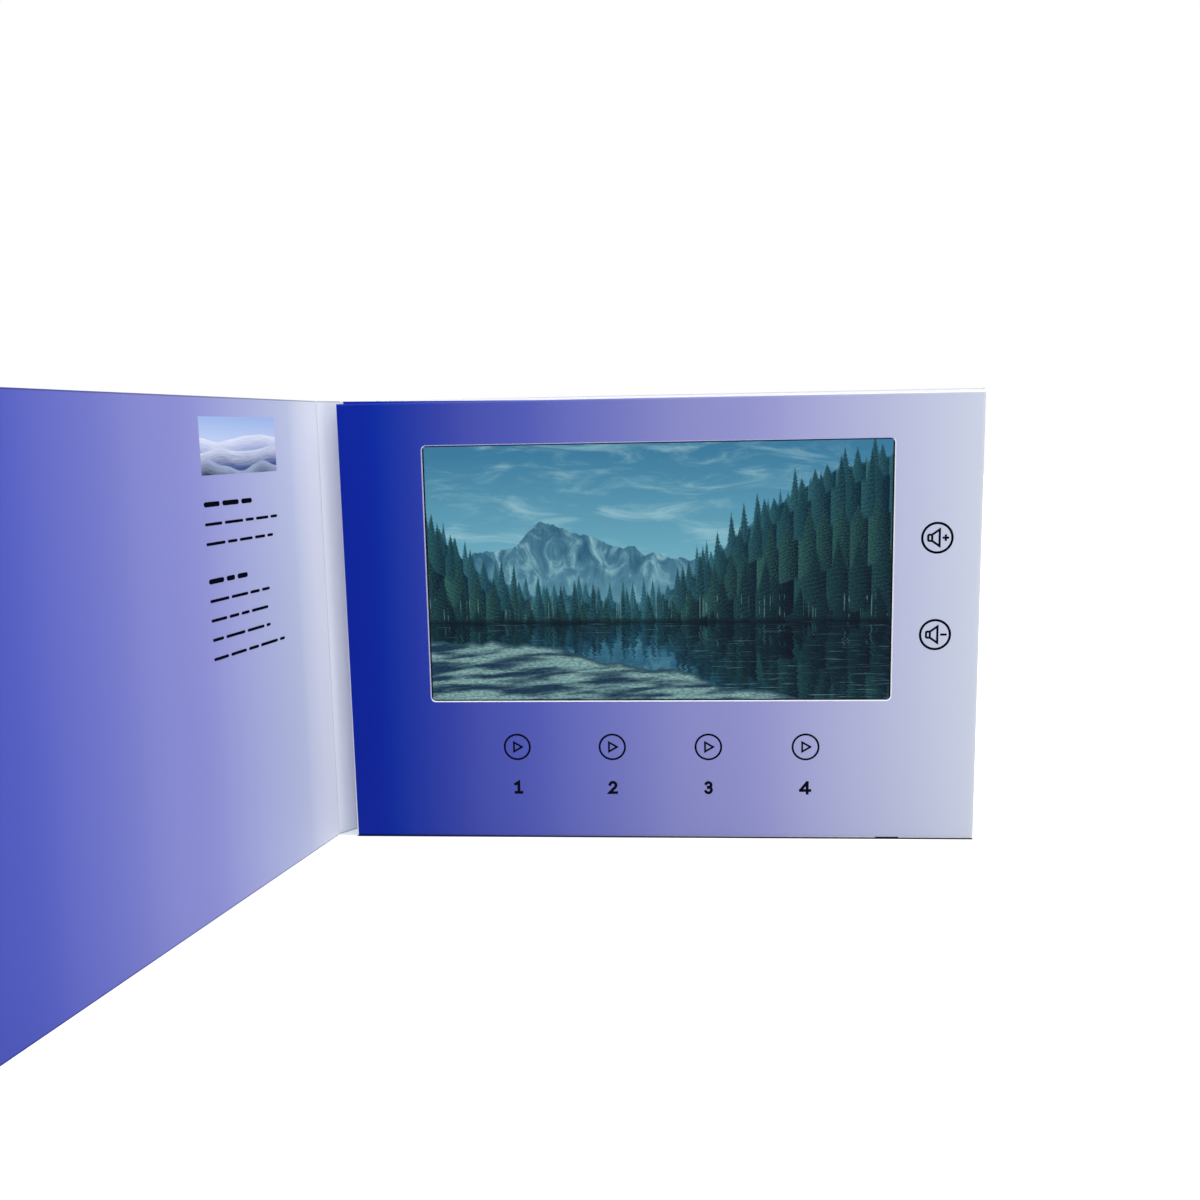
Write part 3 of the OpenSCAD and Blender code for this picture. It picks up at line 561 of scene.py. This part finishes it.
def forest(finish, colour, across, swayed, height, values):
    # both sides of the valley rise from its middle
    rise = finish.step(abs(across - values["valley"]), 0.05, 0.62)
    hills = finish.lineNoise(across, 5.0, 2.4) * 0.10 - 0.05
    for row in treeRows:
        foot = rise * (row["rise"] * values["climb"]) + (row["foot"] - values["sink"]) + hills
        shown, lit = conifers(finish, swayed, height, foot, row, conifer)
        leaves = finish.ramp(lit, [(0.1, tone(*row["dark"])), (0.95, tone(*row["pale"]))])
        colour = finish.mix(shown, colour, leaves)
    colour = finish.mix(trunks(finish, swayed, height) * 0.6, colour, tone(120, 150, 150))
    return finish.mix(finish.step(height, 0.02, 0.0) * 0.6, colour, tone(10, 34, 44))


def lake(finish, colour, across, up, values):
    # the same picture upside down, darker, with glints that grow towards the front
    waves = finish.noise(finish.stretch(finish.join(across, up), (7, 150, 1)), 1.4, 5, 0.6)
    near = finish.step(up, values["shore"], 0.0)
    glint = finish.step(waves, 0.56, 0.74) * (near * 0.35 + 0.35)
    return finish.mix(glint, finish.darken(1.0, colour, tone(176, 206, 218)), tone(140, 184, 198))


def frontShore(finish, colour, across, up, wide, values):
    # pale ground in front, with the shadows of trees that stand outside the picture
    rise = finish.step(across, values["flat"], values["full"]) * values["rise"] - values["sunk"]
    top = finish.lineNoise(across, 5, 9.3, 6, 0.55) * values["uneven"] + rise
    pebbles = finish.noise(finish.join(wide, up * 3.2), values["stones"], 5, 0.7, 0.3)
    leaning = finish.join(up * values["lean"] + wide, up * 7.0)
    patches = finish.noise(finish.stretch(leaning, (2.4, 2.2, 1), (2, 5, 0)), 1.5, distortion=0.2)
    shaded = 1.0 - finish.step(patches, *values["shadows"])
    sands = [(0.3, tone(84, 116, 122)), (0.5, tone(132, 164, 164)), (0.7, tone(172, 196, 186))]
    sand = finish.darken(shaded, finish.ramp(pebbles, sands), tone(92, 118, 150))
    sand = finish.mix(finish.step(top - up, 0.02, 0.0), sand, tone(60, 92, 102))
    return finish.mix(finish.past(top - up, 0.003), colour, sand)


def litScreen(values):
    finish = Finish("litScreen")
    halfWide, halfTall, middle = values["width"] / 2 * mm, values["height"] / 2 * mm, windowMiddle * mm
    across = finish.x * (0.5 / halfWide) + 0.5
    up = (finish.z - (middle - halfTall)) / (values["height"] * mm)
    wide = across * values["ratio"]
    # below the shore the height runs down again, and ripples sway what the water mirrors
    water = finish.past(values["shore"] - up, 0.001)
    ripple = finish.noise(finish.join(across * 6.0, up * 70.0), 1.6, 4, 0.6)
    sway = (ripple - 0.5) * (water * values["sway"])
    swayed = sway * values["aside"] + across
    height = abs(up - values["shore"]) + sway
    spot = finish.join(wide, height)

    colour = sky(finish, spot, height)
    colour = farHills(finish, colour, across, height, spot)
    colour = forest(finish, colour, across, swayed, height, values)
    colour = finish.mix(water, colour, lake(finish, colour, across, up, values))
    colour = frontShore(finish, colour, across, up, wide, bank)

    # the panel's rows, its contrast and its dark border
    rows = finish.calc("SINE", finish.z * (2 * math.pi / (values["rowPitch"] * mm)))
    colour = finish.mix(rows * 0.015 + 0.02, colour, tone(20, 66, 96))
    colour = finish.add("Gamma", {"Color": colour, "Gamma": values["contrast"]}).outputs[0]
    soft = values["soft"] * mm
    shown = finish.between(finish.x, -halfWide, halfWide, soft)
    shown = shown * finish.between(finish.z, middle - halfTall, middle + halfTall, soft)
    colour = finish.mix(shown, tone(6, 8, 16), colour)
    grain = finish.noise(finish.place, 9000, detail=2)
    finish.set(rough=0.38, gloss=0.05, normal=finish.bump(grain, 0.002 * mm))
    return finish.set(colour=tone(8, 12, 18), light=colour, lightPower=values["power"])


dressNode("front_film", litScreen(screen))
print("stage: screen")


# finishes of the parts inside, with sizes in millimetres
def partTexture(finish, look):
    vector = finish.stretch(finish.place, look.get("stretch", (1, 1, 1)))
    inputs = {"Vector": vector, "Scale": 1 / (look["size"] * mm)}
    pattern = look.get("pattern")
    if pattern == "cells":
        return finish.add("TexVoronoi", inputs).outputs["Distance"]
    if pattern == "rings":
        inputs["Distortion"] = 0.6
        return finish.add("TexWave", inputs, wave_type="RINGS").outputs["Fac"]
    if pattern == "traces":
        inputs.update({"Mortar Size": 0.05, "Color1": grey(0), "Color2": grey(0.2), "Mortar": grey(1)})
        return finish.add("TexBrick", inputs).outputs["Color"]
    return finish.noise(vector, inputs["Scale"], 4, 0.6, look.get("distort", 0.0))


def partFinish(name, look):
    finish = Finish(name)
    texture = partTexture(finish, look)
    amount = look.get("vary", 0.12)
    paler = look.get("second", [min(255, c * (1 + amount)) for c in look["colour"]])
    darker = [c * 0.7 for c in look["colour"]]
    colour = finish.mix(texture, tone(*look["colour"]), tone(*paler))
    colour = finish.mix(finish.noise(finish.place, 60) * amount, colour, tone(*darker))
    rough = finish.spread(texture, max(0.05, look["rough"] - 0.08), min(1, look["rough"] + 0.1))
    finish.set(colour=colour, rough=rough, normal=finish.bump(texture, look["depth"] * mm))
    extras = ("metal", "coat", "clear", "sheen", "brush")
    return finish.set(**{key: look[key] for key in extras if key in look})


steelLook = {"colour": (178, 181, 186), "metal": 1.0, "rough": 0.3, "size": 0.5, "stretch": (0.06, 1, 3),
             "vary": 0.08, "depth": 0.004, "brush": 0.4}
domeLook = dict(steelLook, colour=(204, 198, 176))
foamLook = {"colour": (58, 58, 62), "pattern": "cells", "size": 0.6, "rough": 0.9, "depth": 0.08,
            "vary": 0.25, "sheen": 0.2}
tapeLook = {"colour": (226, 224, 208), "pattern": "cells", "size": 0.5, "rough": 0.85, "depth": 0.05,
            "vary": 0.08}
whitePlastic = {"colour": (228, 228, 224), "size": 0.3, "rough": 0.45, "depth": 0.006, "vary": 0.04}
blackPlastic = {"colour": (24, 24, 26), "second": (40, 40, 44), "size": 0.25, "rough": 0.5, "depth": 0.008,
                "vary": 0.3}
creamPlastic = {"colour": (220, 212, 192), "size": 0.3, "rough": 0.5, "depth": 0.006, "vary": 0.06}
boardLook = {"colour": (14, 84, 50), "second": (32, 122, 76), "pattern": "traces", "size": 2.4,
             "rough": 0.35, "depth": 0.02, "coat": 0.3}
amberLook = {"colour": (196, 122, 30), "second": (226, 168, 78), "size": 0.8, "stretch": (6, 1, 0.2),
             "rough": 0.28, "depth": 0.006, "coat": 0.4}
insideLooks = {
    "screen_tape": dict(foamLook, colour=(16, 22, 34)), "lcd_bezel": steelLook, "lcd_frame": whitePlastic,
    "lcd_glass": {"colour": (44, 70, 82), "size": 0.4, "rough": 0.12, "depth": 0.002, "vary": 0.05,
                  "coat": 0.5},
    "diffuser_sheets": {"colour": (240, 240, 240), "size": 0.2, "rough": 0.7, "depth": 0.004, "vary": 0.03},
    "light_guide": {"colour": (222, 236, 240), "pattern": "cells", "size": 0.8, "rough": 0.15,
                    "depth": 0.01, "clear": 0.6},
    "mirror_sheet": {"colour": (224, 227, 230), "metal": 1.0, "size": 0.3, "rough": 0.15, "depth": 0.002},
    "led_strip": dict(amberLook, colour=(232, 206, 120), second=(246, 230, 160)), "screen_flex": amberLook,
    "main_board": boardLook, "board_chips": blackPlastic, "usb_shell": steelLook, "usb_tongue": blackPlastic,
    "flex_socket": creamPlastic, "link_socket": creamPlastic, "lead_headers": creamPlastic,
    "battery_cell": {"colour": (188, 191, 198), "metal": 0.8, "size": 1.6, "rough": 0.34, "depth": 0.03,
                     "distort": 1.5},
    "battery_wrap": amberLook, "battery_pad": tapeLook,
    "battery_leads": {"colour": (176, 22, 20), "size": 0.2, "rough": 0.45, "depth": 0.004},
    "speaker_basket": steelLook, "speaker_gasket": foamLook,
    "speaker_magnet": {"colour": (58, 58, 62), "metal": 0.4, "size": 0.3, "rough": 0.65, "depth": 0.02},
    "speaker_cone": {"colour": (22, 22, 22), "second": (42, 42, 42), "pattern": "rings", "size": 6.0,
                     "rough": 0.85, "depth": 0.03},
    "speaker_leads": {"colour": (18, 18, 18), "second": (36, 36, 36), "size": 0.2, "rough": 0.45,
                      "depth": 0.004},
    "video_key_board": boardLook, "volume_key_board": boardLook, "key_pads": tapeLook,
    "board_pads": tapeLook, "switch_housings": blackPlastic, "switch_domes": domeLook,
    "switch_plates": steelLook,
    "key_ribbon": {"colour": (226, 226, 220), "second": (190, 192, 192), "size": 0.5, "stretch": (1, 1, 8),
                   "rough": 0.4, "depth": 0.01},
    "magnet_sensor": blackPlastic, "front_foam": foamLook, "rear_foam": dict(foamLook, colour=(64, 64, 70)),
    "cover_magnet": {"colour": (182, 182, 186), "metal": 1.0, "size": 0.2, "rough": 0.18, "depth": 0.003},
}
keyNodes = ["video_key_" + str(number) for number in (1, 2, 3, 4)] + ["volume_up_key", "volume_down_key"]
insideLooks.update((keyNode, whitePlastic) for keyNode in keyNodes)
for name, look in insideLooks.items():
    dressNode(name, partFinish(name + "Finish", look))
print("stage: finishes of", len(insideLooks), "inner parts")


# snap domes, one under each key
dome = {"radius": 1.7, "height": 0.35, "sheet": 0.06, "curve": 1.55, "rings": 7, "sides": 48, "keep": 0.3}


def domeMesh(middle, values):
    sides, skin = values["sides"], 1 + values["rings"] * values["sides"]
    points, faces, rims = [], [], []
    for layer, under in enumerate((0, values["sheet"])):
        points.append(middle + Vector((0, under, 0)) * mm)
        for ring in range(1, values["rings"] + 1):
            share = ring / values["rings"]
            fall = (values["height"] - values["sheet"]) * share ** values["curve"] + under
            points += [middle + Vector((x, fall, z)) * mm
                       for x, z in arc(0, 0, values["radius"] * share, 0, 360, sides)[:-1]]
        starts = [layer * skin + 1 + ring * sides for ring in range(values["rings"])]
        for side in range(sides):
            fan = [layer * skin, starts[0] + side, starts[0] + (side + 1) % sides]
            faces.append(fan[::-1] if layer else fan)
        for inner, outer in zip(starts, starts[1:]):
            faces += bandFaces(sides, inner, outer) if layer else bandFaces(sides, outer, inner)
        rims.append(starts[-1])
    return points, faces + bandFaces(sides, rims[1], rims[0])


def makeDome(key, material, values):
    low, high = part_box(key)
    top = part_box("switch_domes")[0][1]
    middle = Vector(((low[0] + high[0]) / 2, top, (low[2] + high[2]) / 2))
    made = meshPiece("snapDome_" + key, *domeMesh(middle, values), True)
    dress(made, material)
    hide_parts("switch_domes")
    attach(made, "block")
    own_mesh(made)


domeSteel = partFinish("domeSteel", domeLook)
for key in keyNodes:
    makeDome(key, domeSteel, dome)
print("stage: snap domes")


# folds: creased strips of the wrap that bend between its flat runs, with scores at shares of the bend
foldShape = {"steps": 48, "lap": 0.03, "scoreWidth": 0.075, "shaded": 0.02, "endRing": 0.15}
rearFold = {"name": "rearFold", "node": "rear_crease", "bodies": ("block", "spine"), "turnIn": 0.0,
            "turn": turns["rear"], "from": wrap["card"] / 2, "to": spineStack,
            "scores": {0.14: 0.05, 0.86: 0.1}, "outside": 0.5}
frontFold = {"name": "frontFold", "node": "front_crease", "bodies": ("spine", "cover"),
             "turnIn": turns["rear"], "turn": turns["front"], "from": spineStack, "to": coverStack,
             "scores": {0.16: 0.16, 0.84: 0.26}, "outside": 0.35}
foldCard = plainCard("foldCard", wash[-1][1])
# painted shade in the scores of the folds: a greyer card for the faces that lie in them
creaseShadeCard = plainCard("creaseShadeCard", tone(172, 175, 188))


def foldMesh(outer, inner):
    ring = outer + inner[::-1]
    count, top, high, end = len(ring), len(outer), block["wrapHeight"], foldShape["endRing"]
    levels = [0.0, end, high / 2, high - end, high]
    points = [p + Vector((0, 0, level * mm)) for level in levels for p in ring]
    faces = [face for n in range(len(levels) - 1) for face in bandFaces(count, n * count, (n + 1) * count)]
    last = (len(levels) - 1) * count
    for i in range(top - 1):
        faces.append([i + 1, i, count - 1 - i, count - 2 - i])
        faces.append([last + i, last + i + 1, last + count - 2 - i, last + count - 1 - i])
    return points, faces


def shadeScores(made, scored):
    # the narrow faces of both skins that lie in a score, at every level, take the greyer card of painted
    # shade
    steps, count = len(scored) - 1, 2 * len(scored)
    for low in range(0, len(made.data.vertices) - count, count):
        for i in range(steps):
            if scored[i] and scored[i + 1]:
                made.data.polygons[low + i].material_index = 1
                made.data.polygons[low + count - 2 - i].material_index = 1


def foldStrip(values, at):
    half, steps, lap = wrap["creaseHalf"], foldShape["steps"], foldShape["lap"]
    turn = math.radians(values["turn"])
    radius = half / math.tan(turn / 2)
    spin = Matrix.Rotation(math.radians(values["turnIn"]), 3, "Z")

    def spot(reach, angle, slide=0.0):
        x = reach * math.sin(angle) - half + slide * math.cos(angle)
        y = reach * math.cos(angle) - radius - slide * math.sin(angle)
        return at + spin @ Vector((-x, y, 0)) * mm

    outer, inner, scored = [], [], []
    for i in range(steps + 1):
        share = i / steps
        slide = {0: -lap, steps: lap}.get(i, 0.0)
        score = sum(max(0, 1 - abs(share - middle) / foldShape["scoreWidth"]) * deep
                    for middle, deep in values["scores"].items())
        scored.append(score > foldShape["shaded"])
        stack = values["from"] + (values["to"] - values["from"]) * share
        outer.append(spot(radius + wrap["card"] / 2 - score * values["outside"], turn * share, slide))
        inner.append(spot(radius - stack + score, turn * share, slide))
    made = meshPiece(values["name"], *foldMesh(outer, inner), True)
    start, end = spot(radius, 0.0), spot(radius, turn)
    dress(made, foldCard)
    made.data.materials.append(creaseShadeCard)
    shadeScores(made, scored)
    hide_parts(values["node"])
    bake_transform(made)


foldStrip(rearFold, rearCrease)
foldStrip(frontFold, frontCrease)
print("stage: folds")


# ink: thin raised marks on the card
ink = {"height": 0.02, "sink": 0.01, "layer": 0.002, "colour": (1, 1, 14)}


def inkFinish(values):
    finish = Finish("ink")
    fibres = finish.noise(finish.place, 2600, 4, 0.6)
    colour = finish.mix(fibres, tone(*values["colour"]), tone(*[c + 6 for c in values["colour"]]))
    return finish.set(colour=colour, rough=0.5, gloss=0.03, normal=finish.bump(fibres, 0.004 * mm))


inkMaterial = inkFinish(ink)


def onFace(a, b, out):
    return Vector((a, faceY - out, b)) * mm


def onCover(a, b, out):
    return frontCrease + (coverAlong * a + coverInward * (coverStack + out) + Vector((0, 0, b))) * mm


def strokeSides(path, width, closed):
    left, right = [], []
    count = len(path)
    for i, point in enumerate(path):
        before = path[i - 1] if closed or i else None
        after = path[(i + 1) % count] if closed or i < count - 1 else None
        first = (point - before).normalized() if before is not None else (after - point).normalized()
        second = (after - point).normalized() if after is not None else first
        across = Vector((-first.y - second.y, first.x + second.x)).normalized()
        reach = width / 2 / max(0.4, across.dot(Vector((-first.y, first.x))))
        left.append(point + across * reach)
        right.append(point - across * reach)
    return left, right


class InkSheet:
    def __init__(self, place):
        self.place, self.points, self.faces, self.top = place, [], [], ink["height"]

    def levels(self):
        self.top += ink["layer"]
        return (-ink["sink"], self.top)

    def solid(self, outline):
        start, count = len(self.points), len(outline)
        for out in self.levels():
            self.points += [self.place(p[0], p[1], out) for p in outline]
        self.faces.append([start + i for i in range(count)][::-1])
        self.faces.append([start + count + i for i in range(count)])
        self.faces += bandFaces(count, start, start + count)

    def stroke(self, path, width, closed=False, cap=0.0):
        path = [Vector(p) for p in path]
        if cap:
            path[0] = path[0] + (path[0] - path[1]).normalized() * cap
            path[-1] = path[-1] + (path[-1] - path[-2]).normalized() * cap
        left, right = strokeSides(path, width, closed)
        if not closed:
            return self.solid(left + right[::-1])
        start, count = len(self.points), len(path)
        for out in self.levels():
            for side in (left, right):
                self.points += [self.place(p[0], p[1], out) for p in side]
        for a, b in ((0, 1), (1, 3), (3, 2), (2, 0)):
            self.faces += bandFaces(count, start + a * count, start + b * count)

    def piece(self, name, body):
        made = meshPiece(name, self.points, self.faces)
        bpy.context.view_layer.objects.active = made
        made.select_set(True)
        bpy.ops.object.mode_set(mode="EDIT")
        bpy.ops.mesh.select_all(action="SELECT")
        bpy.ops.mesh.normals_make_consistent(inside=False)
        bpy.ops.object.mode_set(mode="OBJECT")
        made.select_set(False)
        dress(made, inkMaterial)
        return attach(made, body)


def ringPath(x, z, radius):
    return arc(x, z, radius, 0, 360, 72)[:-1]


# marks on the face, in millimetres
playMark = {"radius": 4.3, "tip": 1.6, "back": -1.12, "z": 31.8, "pitch": 32.4, "shift": 0.55,
            "ringLine": 0.663, "line": 0.624}
numeral = {"height": 4.6, "z": 17.6, "line": 0.95}
volumeMark = {"x": 90.8, "upZ": 101.5, "downZ": 69.7, "radius": 4.8, "ringLine": 0.78, "line": 0.702,
              "back": -2.9, "neck": -1.65, "mouth": 0.75, "backHalf": 1.0, "mouthHalf": 2.7,
              "corner": 0.4, "cut": 0.1, "sign": 2.7, "signHalf": 1.05}


def makePlayMark(number, values):
    x = (number - 2.5) * values["pitch"] + values["shift"]
    z, tip, back = values["z"], values["tip"], values["back"]
    sheet = InkSheet(onFace)
    sheet.stroke(ringPath(x, z, values["radius"]), values["ringLine"], True)
    sheet.stroke([(x + back, z + tip), (x + tip, z), (x + back, z - tip)], values["line"], True)
    sheet.piece("playMark" + str(number), "block")
    return x


# centre lines of the numbers, one unit to half their height
numberLines = {
    1: [[(-0.5, 0.62), (0.08, 1.0), (0.08, -1.0)], [(-0.48, -1.0), (0.62, -1.0)]],
    2: [arc(0.0, 0.43, 0.57, 165, -38) + [(-0.6, -1.0), (0.66, -1.0)]],
    3: [arc(-0.03, 0.5, 0.5, 150, -90), arc(-0.03, -0.44, 0.56, 90, -150)],
    4: [[(0.36, -1.0), (0.36, 1.0)], [(0.3, 1.0), (-0.8, -0.4)], [(-0.86, -0.5), (0.84, -0.5)]],
}


def makeNumeral(number, x, values):
    line, z = values["line"], values["z"]
    half = (values["height"] - line) / 2
    sheet = InkSheet(onFace)
    for path in numberLines[number]:
        sheet.stroke([(x + a * half, z + b * half) for a, b in path], line, cap=line / 2)
    sheet.piece("keyNumber" + str(number), "block")


def makeVolumeMark(name, z, plus, values):
    x, line, corner, cut = values["x"], values["line"], values["corner"], values["cut"]
    back, neck, mouth, sign = (x + values[part] for part in ("back", "neck", "mouth", "sign"))
    low, high, arm = values["backHalf"], values["mouthHalf"], values["signHalf"]
    sheet = InkSheet(onFace)
    sheet.stroke(ringPath(x, z, values["radius"]), values["ringLine"], True)
    upper = [(neck, low), (back + corner, low), (back + cut, low - cut), (back, low - corner)]
    sheet.stroke([(a, z + b) for a, b in upper] + [(a, z - b) for a, b in upper[::-1]], line, True)
    sheet.stroke([(neck, z + low), (mouth, z + high), (mouth, z - high), (neck, z - low)], line, True)
    sheet.stroke([(sign - arm, z), (sign + arm, z)], line)
    if plus:
        sheet.stroke([(sign, z - arm), (sign, z + arm)], line)
    sheet.piece(name, "block")


for number in (1, 2, 3, 4):
    makeNumeral(number, makePlayMark(number, playMark), numeral)
makeVolumeMark("volumeUpMark", volumeMark["upZ"], True, volumeMark)
makeVolumeMark("volumeDownMark", volumeMark["downZ"], False, volumeMark)
print("stage: marks on the face")


# a plain printed column inside the cover: a small picture of dunes and ruled lines under headings
column = {"right": 26.0, "width": 38.0, "pictureTop": 143.6, "pictureHeight": 16.4, "linesTop": 119.0,
          "pitch": 5.6, "pause": 0.9, "body": 0.85, "heading": 1.45, "rows": (0.72, 0.98),
          "words": (4.0, 9.5), "gap": 1.3, "shortest": 2.0, "paragraphs": ((0.62, 2), (0.5, 4)), "seed": 5}
# dune crests from far to near
duneRows = [
    {"base": 0.46, "swing": 0.36, "waves": 2, "seed": 2, "dark": (140, 156, 200), "pale": (232, 236, 250)},
    {"base": 0.22, "swing": 0.40, "waves": 1.6, "seed": 6, "dark": (64, 82, 134), "pale": (220, 226, 244)},
    {"base": -0.02, "swing": 0.36, "waves": 2.3, "seed": 11, "dark": (4, 8, 28), "pale": (170, 184, 216)},
]


def pictureFinish(values):
    finish = Finish("dunes")
    low = values["pictureTop"] - values["pictureHeight"]
    across = (finish.reach(frontCrease, coverAlong) - values["right"] * mm) / (values["width"] * mm)
    up = (finish.z - low * mm) / (values["pictureHeight"] * mm)
    colour = finish.ramp(up, [(0.3, tone(206, 218, 240)), (0.95, tone(160, 184, 230))])
    for row in duneRows:
        crest = finish.lineNoise(across, row["waves"], row["seed"], 1, 0.3) * row["swing"] + row["base"]
        below = crest - up
        spot = finish.stretch(finish.join(across, below), (3, 22, 1), (row["seed"], 0, 0))
        lit = finish.noise(spot, 2, distortion=0.4) * 0.5 + below * 2.2
        sand = finish.ramp(lit, [(0.15, tone(*row["pale"])), (0.9, tone(*row["dark"]))])
        colour = finish.mix(finish.past(below, 0.008), colour, sand)
    grain = finish.noise(finish.place, 2600, 4, 0.6)
    return finish.set(colour=colour, rough=0.4, gloss=0.3, normal=finish.bump(grain, 0.004 * mm))


def makePicture(values):
    right, left = values["right"], values["right"] + values["width"]
    top, low = values["pictureTop"], values["pictureTop"] - values["pictureHeight"]
    picture = InkSheet(onCover)
    picture.solid([(right, low), (left, low), (left, top), (right, top)])
    dress(picture.piece("coverPicture", "cover"), pictureFinish(values))


def makeLines(values):
    lines = InkSheet(onCover)
    chance = random.Random(values["seed"])
    left, z = values["right"] + values["width"], values["linesTop"]
    for heading, count in values["paragraphs"]:
        for row in range(count + 1):
            radius = (values["body"] if row else values["heading"]) / 2
            end = left - values["width"] * (chance.uniform(*values["rows"]) if row else heading)
            at = left
            while at > end + values["shortest"]:
                word = min(chance.uniform(*values["words"]), at - end)
                first, last = at - radius, at - word + radius
                lines.solid(arc(first, z, radius, -90, 90, 8) + arc(last, z, radius, 90, 270, 8))
                at -= word + values["gap"]
            z -= values["pitch"]
        z -= values["pitch"] * values["pause"]
    lines.piece("coverLines", "cover")


makePicture(column)
makeLines(column)
print("stage: marks inside the cover")


# floor and light, with sizes in metres and the small places near the block in millimetres
studio = {"floor": (196, 196, 197), "floorSize": 6.0, "floorGap": 0.05, "floorGlow": 0.75,
          "shadowUnderBlock": 0.14, "underFront": 0.45, "underSoft": 0.25,
          "corner": (0.44, 0.52, 0.55), "cornerFront": (-3.7, -4.4), "cornerSoft": 0.15,
          "walls": 0.06, "ceiling": 2.3, "backdrop": 1.0}
lights = {
    "topLight": {"place": (0.1, -0.35, 1.1), "size": 1.4, "power": 3.0, "aim": (0, -0.02, 0.05)},
    "leftLight": {"place": (-0.9, -1.2, 0.7), "size": 0.9, "power": 1.2, "aim": (0, 0, 0.07)},
    "rightLight": {"place": (1.6, -0.5, 0.4), "size": 1.0, "power": 6.0, "aim": (-0.1, 0, 0.07)},
}


def cornerMask(finish, values):
    # the floor between the spine and the block's left end, where less light comes
    soft = values["cornerSoft"] * mm
    far, near = frontCrease.x, -block["width"] / 2 * mm
    first, last = [front * mm for front in values["cornerFront"]]
    slope = (last - first) / (near - far)
    behind = finish.y - (finish.x * slope + (first - slope * far))
    mask = finish.past(behind, soft) * finish.step(finish.reach(rearCrease, spineInward), 0.0, soft)
    return mask * finish.step(finish.x, near + soft, near - soft)


def makeFloor(values):
    half = values["floorSize"] / 2
    corners = [(-half, -half, 0), (half, -half, 0), (half, half, 0), (-half, half, 0)]
    floor = meshPiece("floor", corners, [[0, 1, 2, 3]])
    floor.location.z = -values["floorGap"] * mm
    finish = Finish("floor")
    grain = finish.noise(finish.place, 40)
    colour = finish.mix(grain, tone(*values["floor"]), tone(*[c - 3 for c in values["floor"]]))
    # the floor glows softly, but not where the block stands on it nor in a thin band just in front of it,
    # where its colour is darkened too: a painted contact shadow
    right, back = block["width"] / 2 * mm, block["depth"] / 2 * mm
    front, soft = (faceY - values["underFront"]) * mm, values["underSoft"] * mm
    under = finish.between(finish.x, -right, right, soft) * finish.between(finish.y, front, back, soft)
    colour = finish.darken(under, colour, grey(values["shadowUnderBlock"]))
    glow = finish.mix(cornerMask(finish, values), grey(1), values["corner"] + (1,))
    glow = finish.mix(under, glow, grey(0))
    finish.set(colour=colour, rough=0.9, gloss=0.1)
    dress(floor, finish.set(light=glow, lightPower=values["floorGlow"]))


def makeLights(values):
    for name, light in values.items():
        data = bpy.data.lights.new(name, "AREA")
        data.size = light["size"]
        data.energy = light["power"]
        made = bpy.data.objects.new(name, data)
        made.location = light["place"]
        made.rotation_euler = (Vector(light["aim"]) - made.location).to_track_quat("-Z", "Y").to_euler()
        bpy.context.scene.collection.objects.link(made)


def makeWorld(values):
    # a bright ceiling over dimmer walls, seen by the camera as plain white
    world = bpy.data.worlds.new("studio")
    world.use_nodes = True
    nodes, links = world.node_tree.nodes, world.node_tree.links
    kinds = ("TexCoord", "SeparateXYZ", "Math", "Math", "Math", "LightPath", "Mix")
    place, height, upward, square, power, seen, choice = [nodes.new("ShaderNode" + k) for k in kinds]
    upward.operation, upward.inputs[1].default_value = "MAXIMUM", 0.0
    square.operation, square.inputs[1].default_value = "POWER", 2.0
    power.operation = "MULTIPLY_ADD"
    power.inputs[1].default_value, power.inputs[2].default_value = values["ceiling"], values["walls"]
    choice.inputs[3].default_value = values["backdrop"]
    links.new(place.outputs["Generated"], height.inputs[0])
    links.new(height.outputs[2], upward.inputs[0])
    links.new(upward.outputs[0], square.inputs[0])
    links.new(square.outputs[0], power.inputs[0])
    links.new(seen.outputs["Is Camera Ray"], choice.inputs[0])
    links.new(power.outputs[0], choice.inputs[2])
    links.new(choice.outputs[0], nodes["Background"].inputs[1])
    nodes["Background"].inputs[0].default_value = grey(1)
    bpy.context.scene.world = world
    bpy.context.scene.view_settings.view_transform = "Standard"


makeFloor(studio)
makeLights(lights)
makeWorld(studio)
print("stage: floor and light")
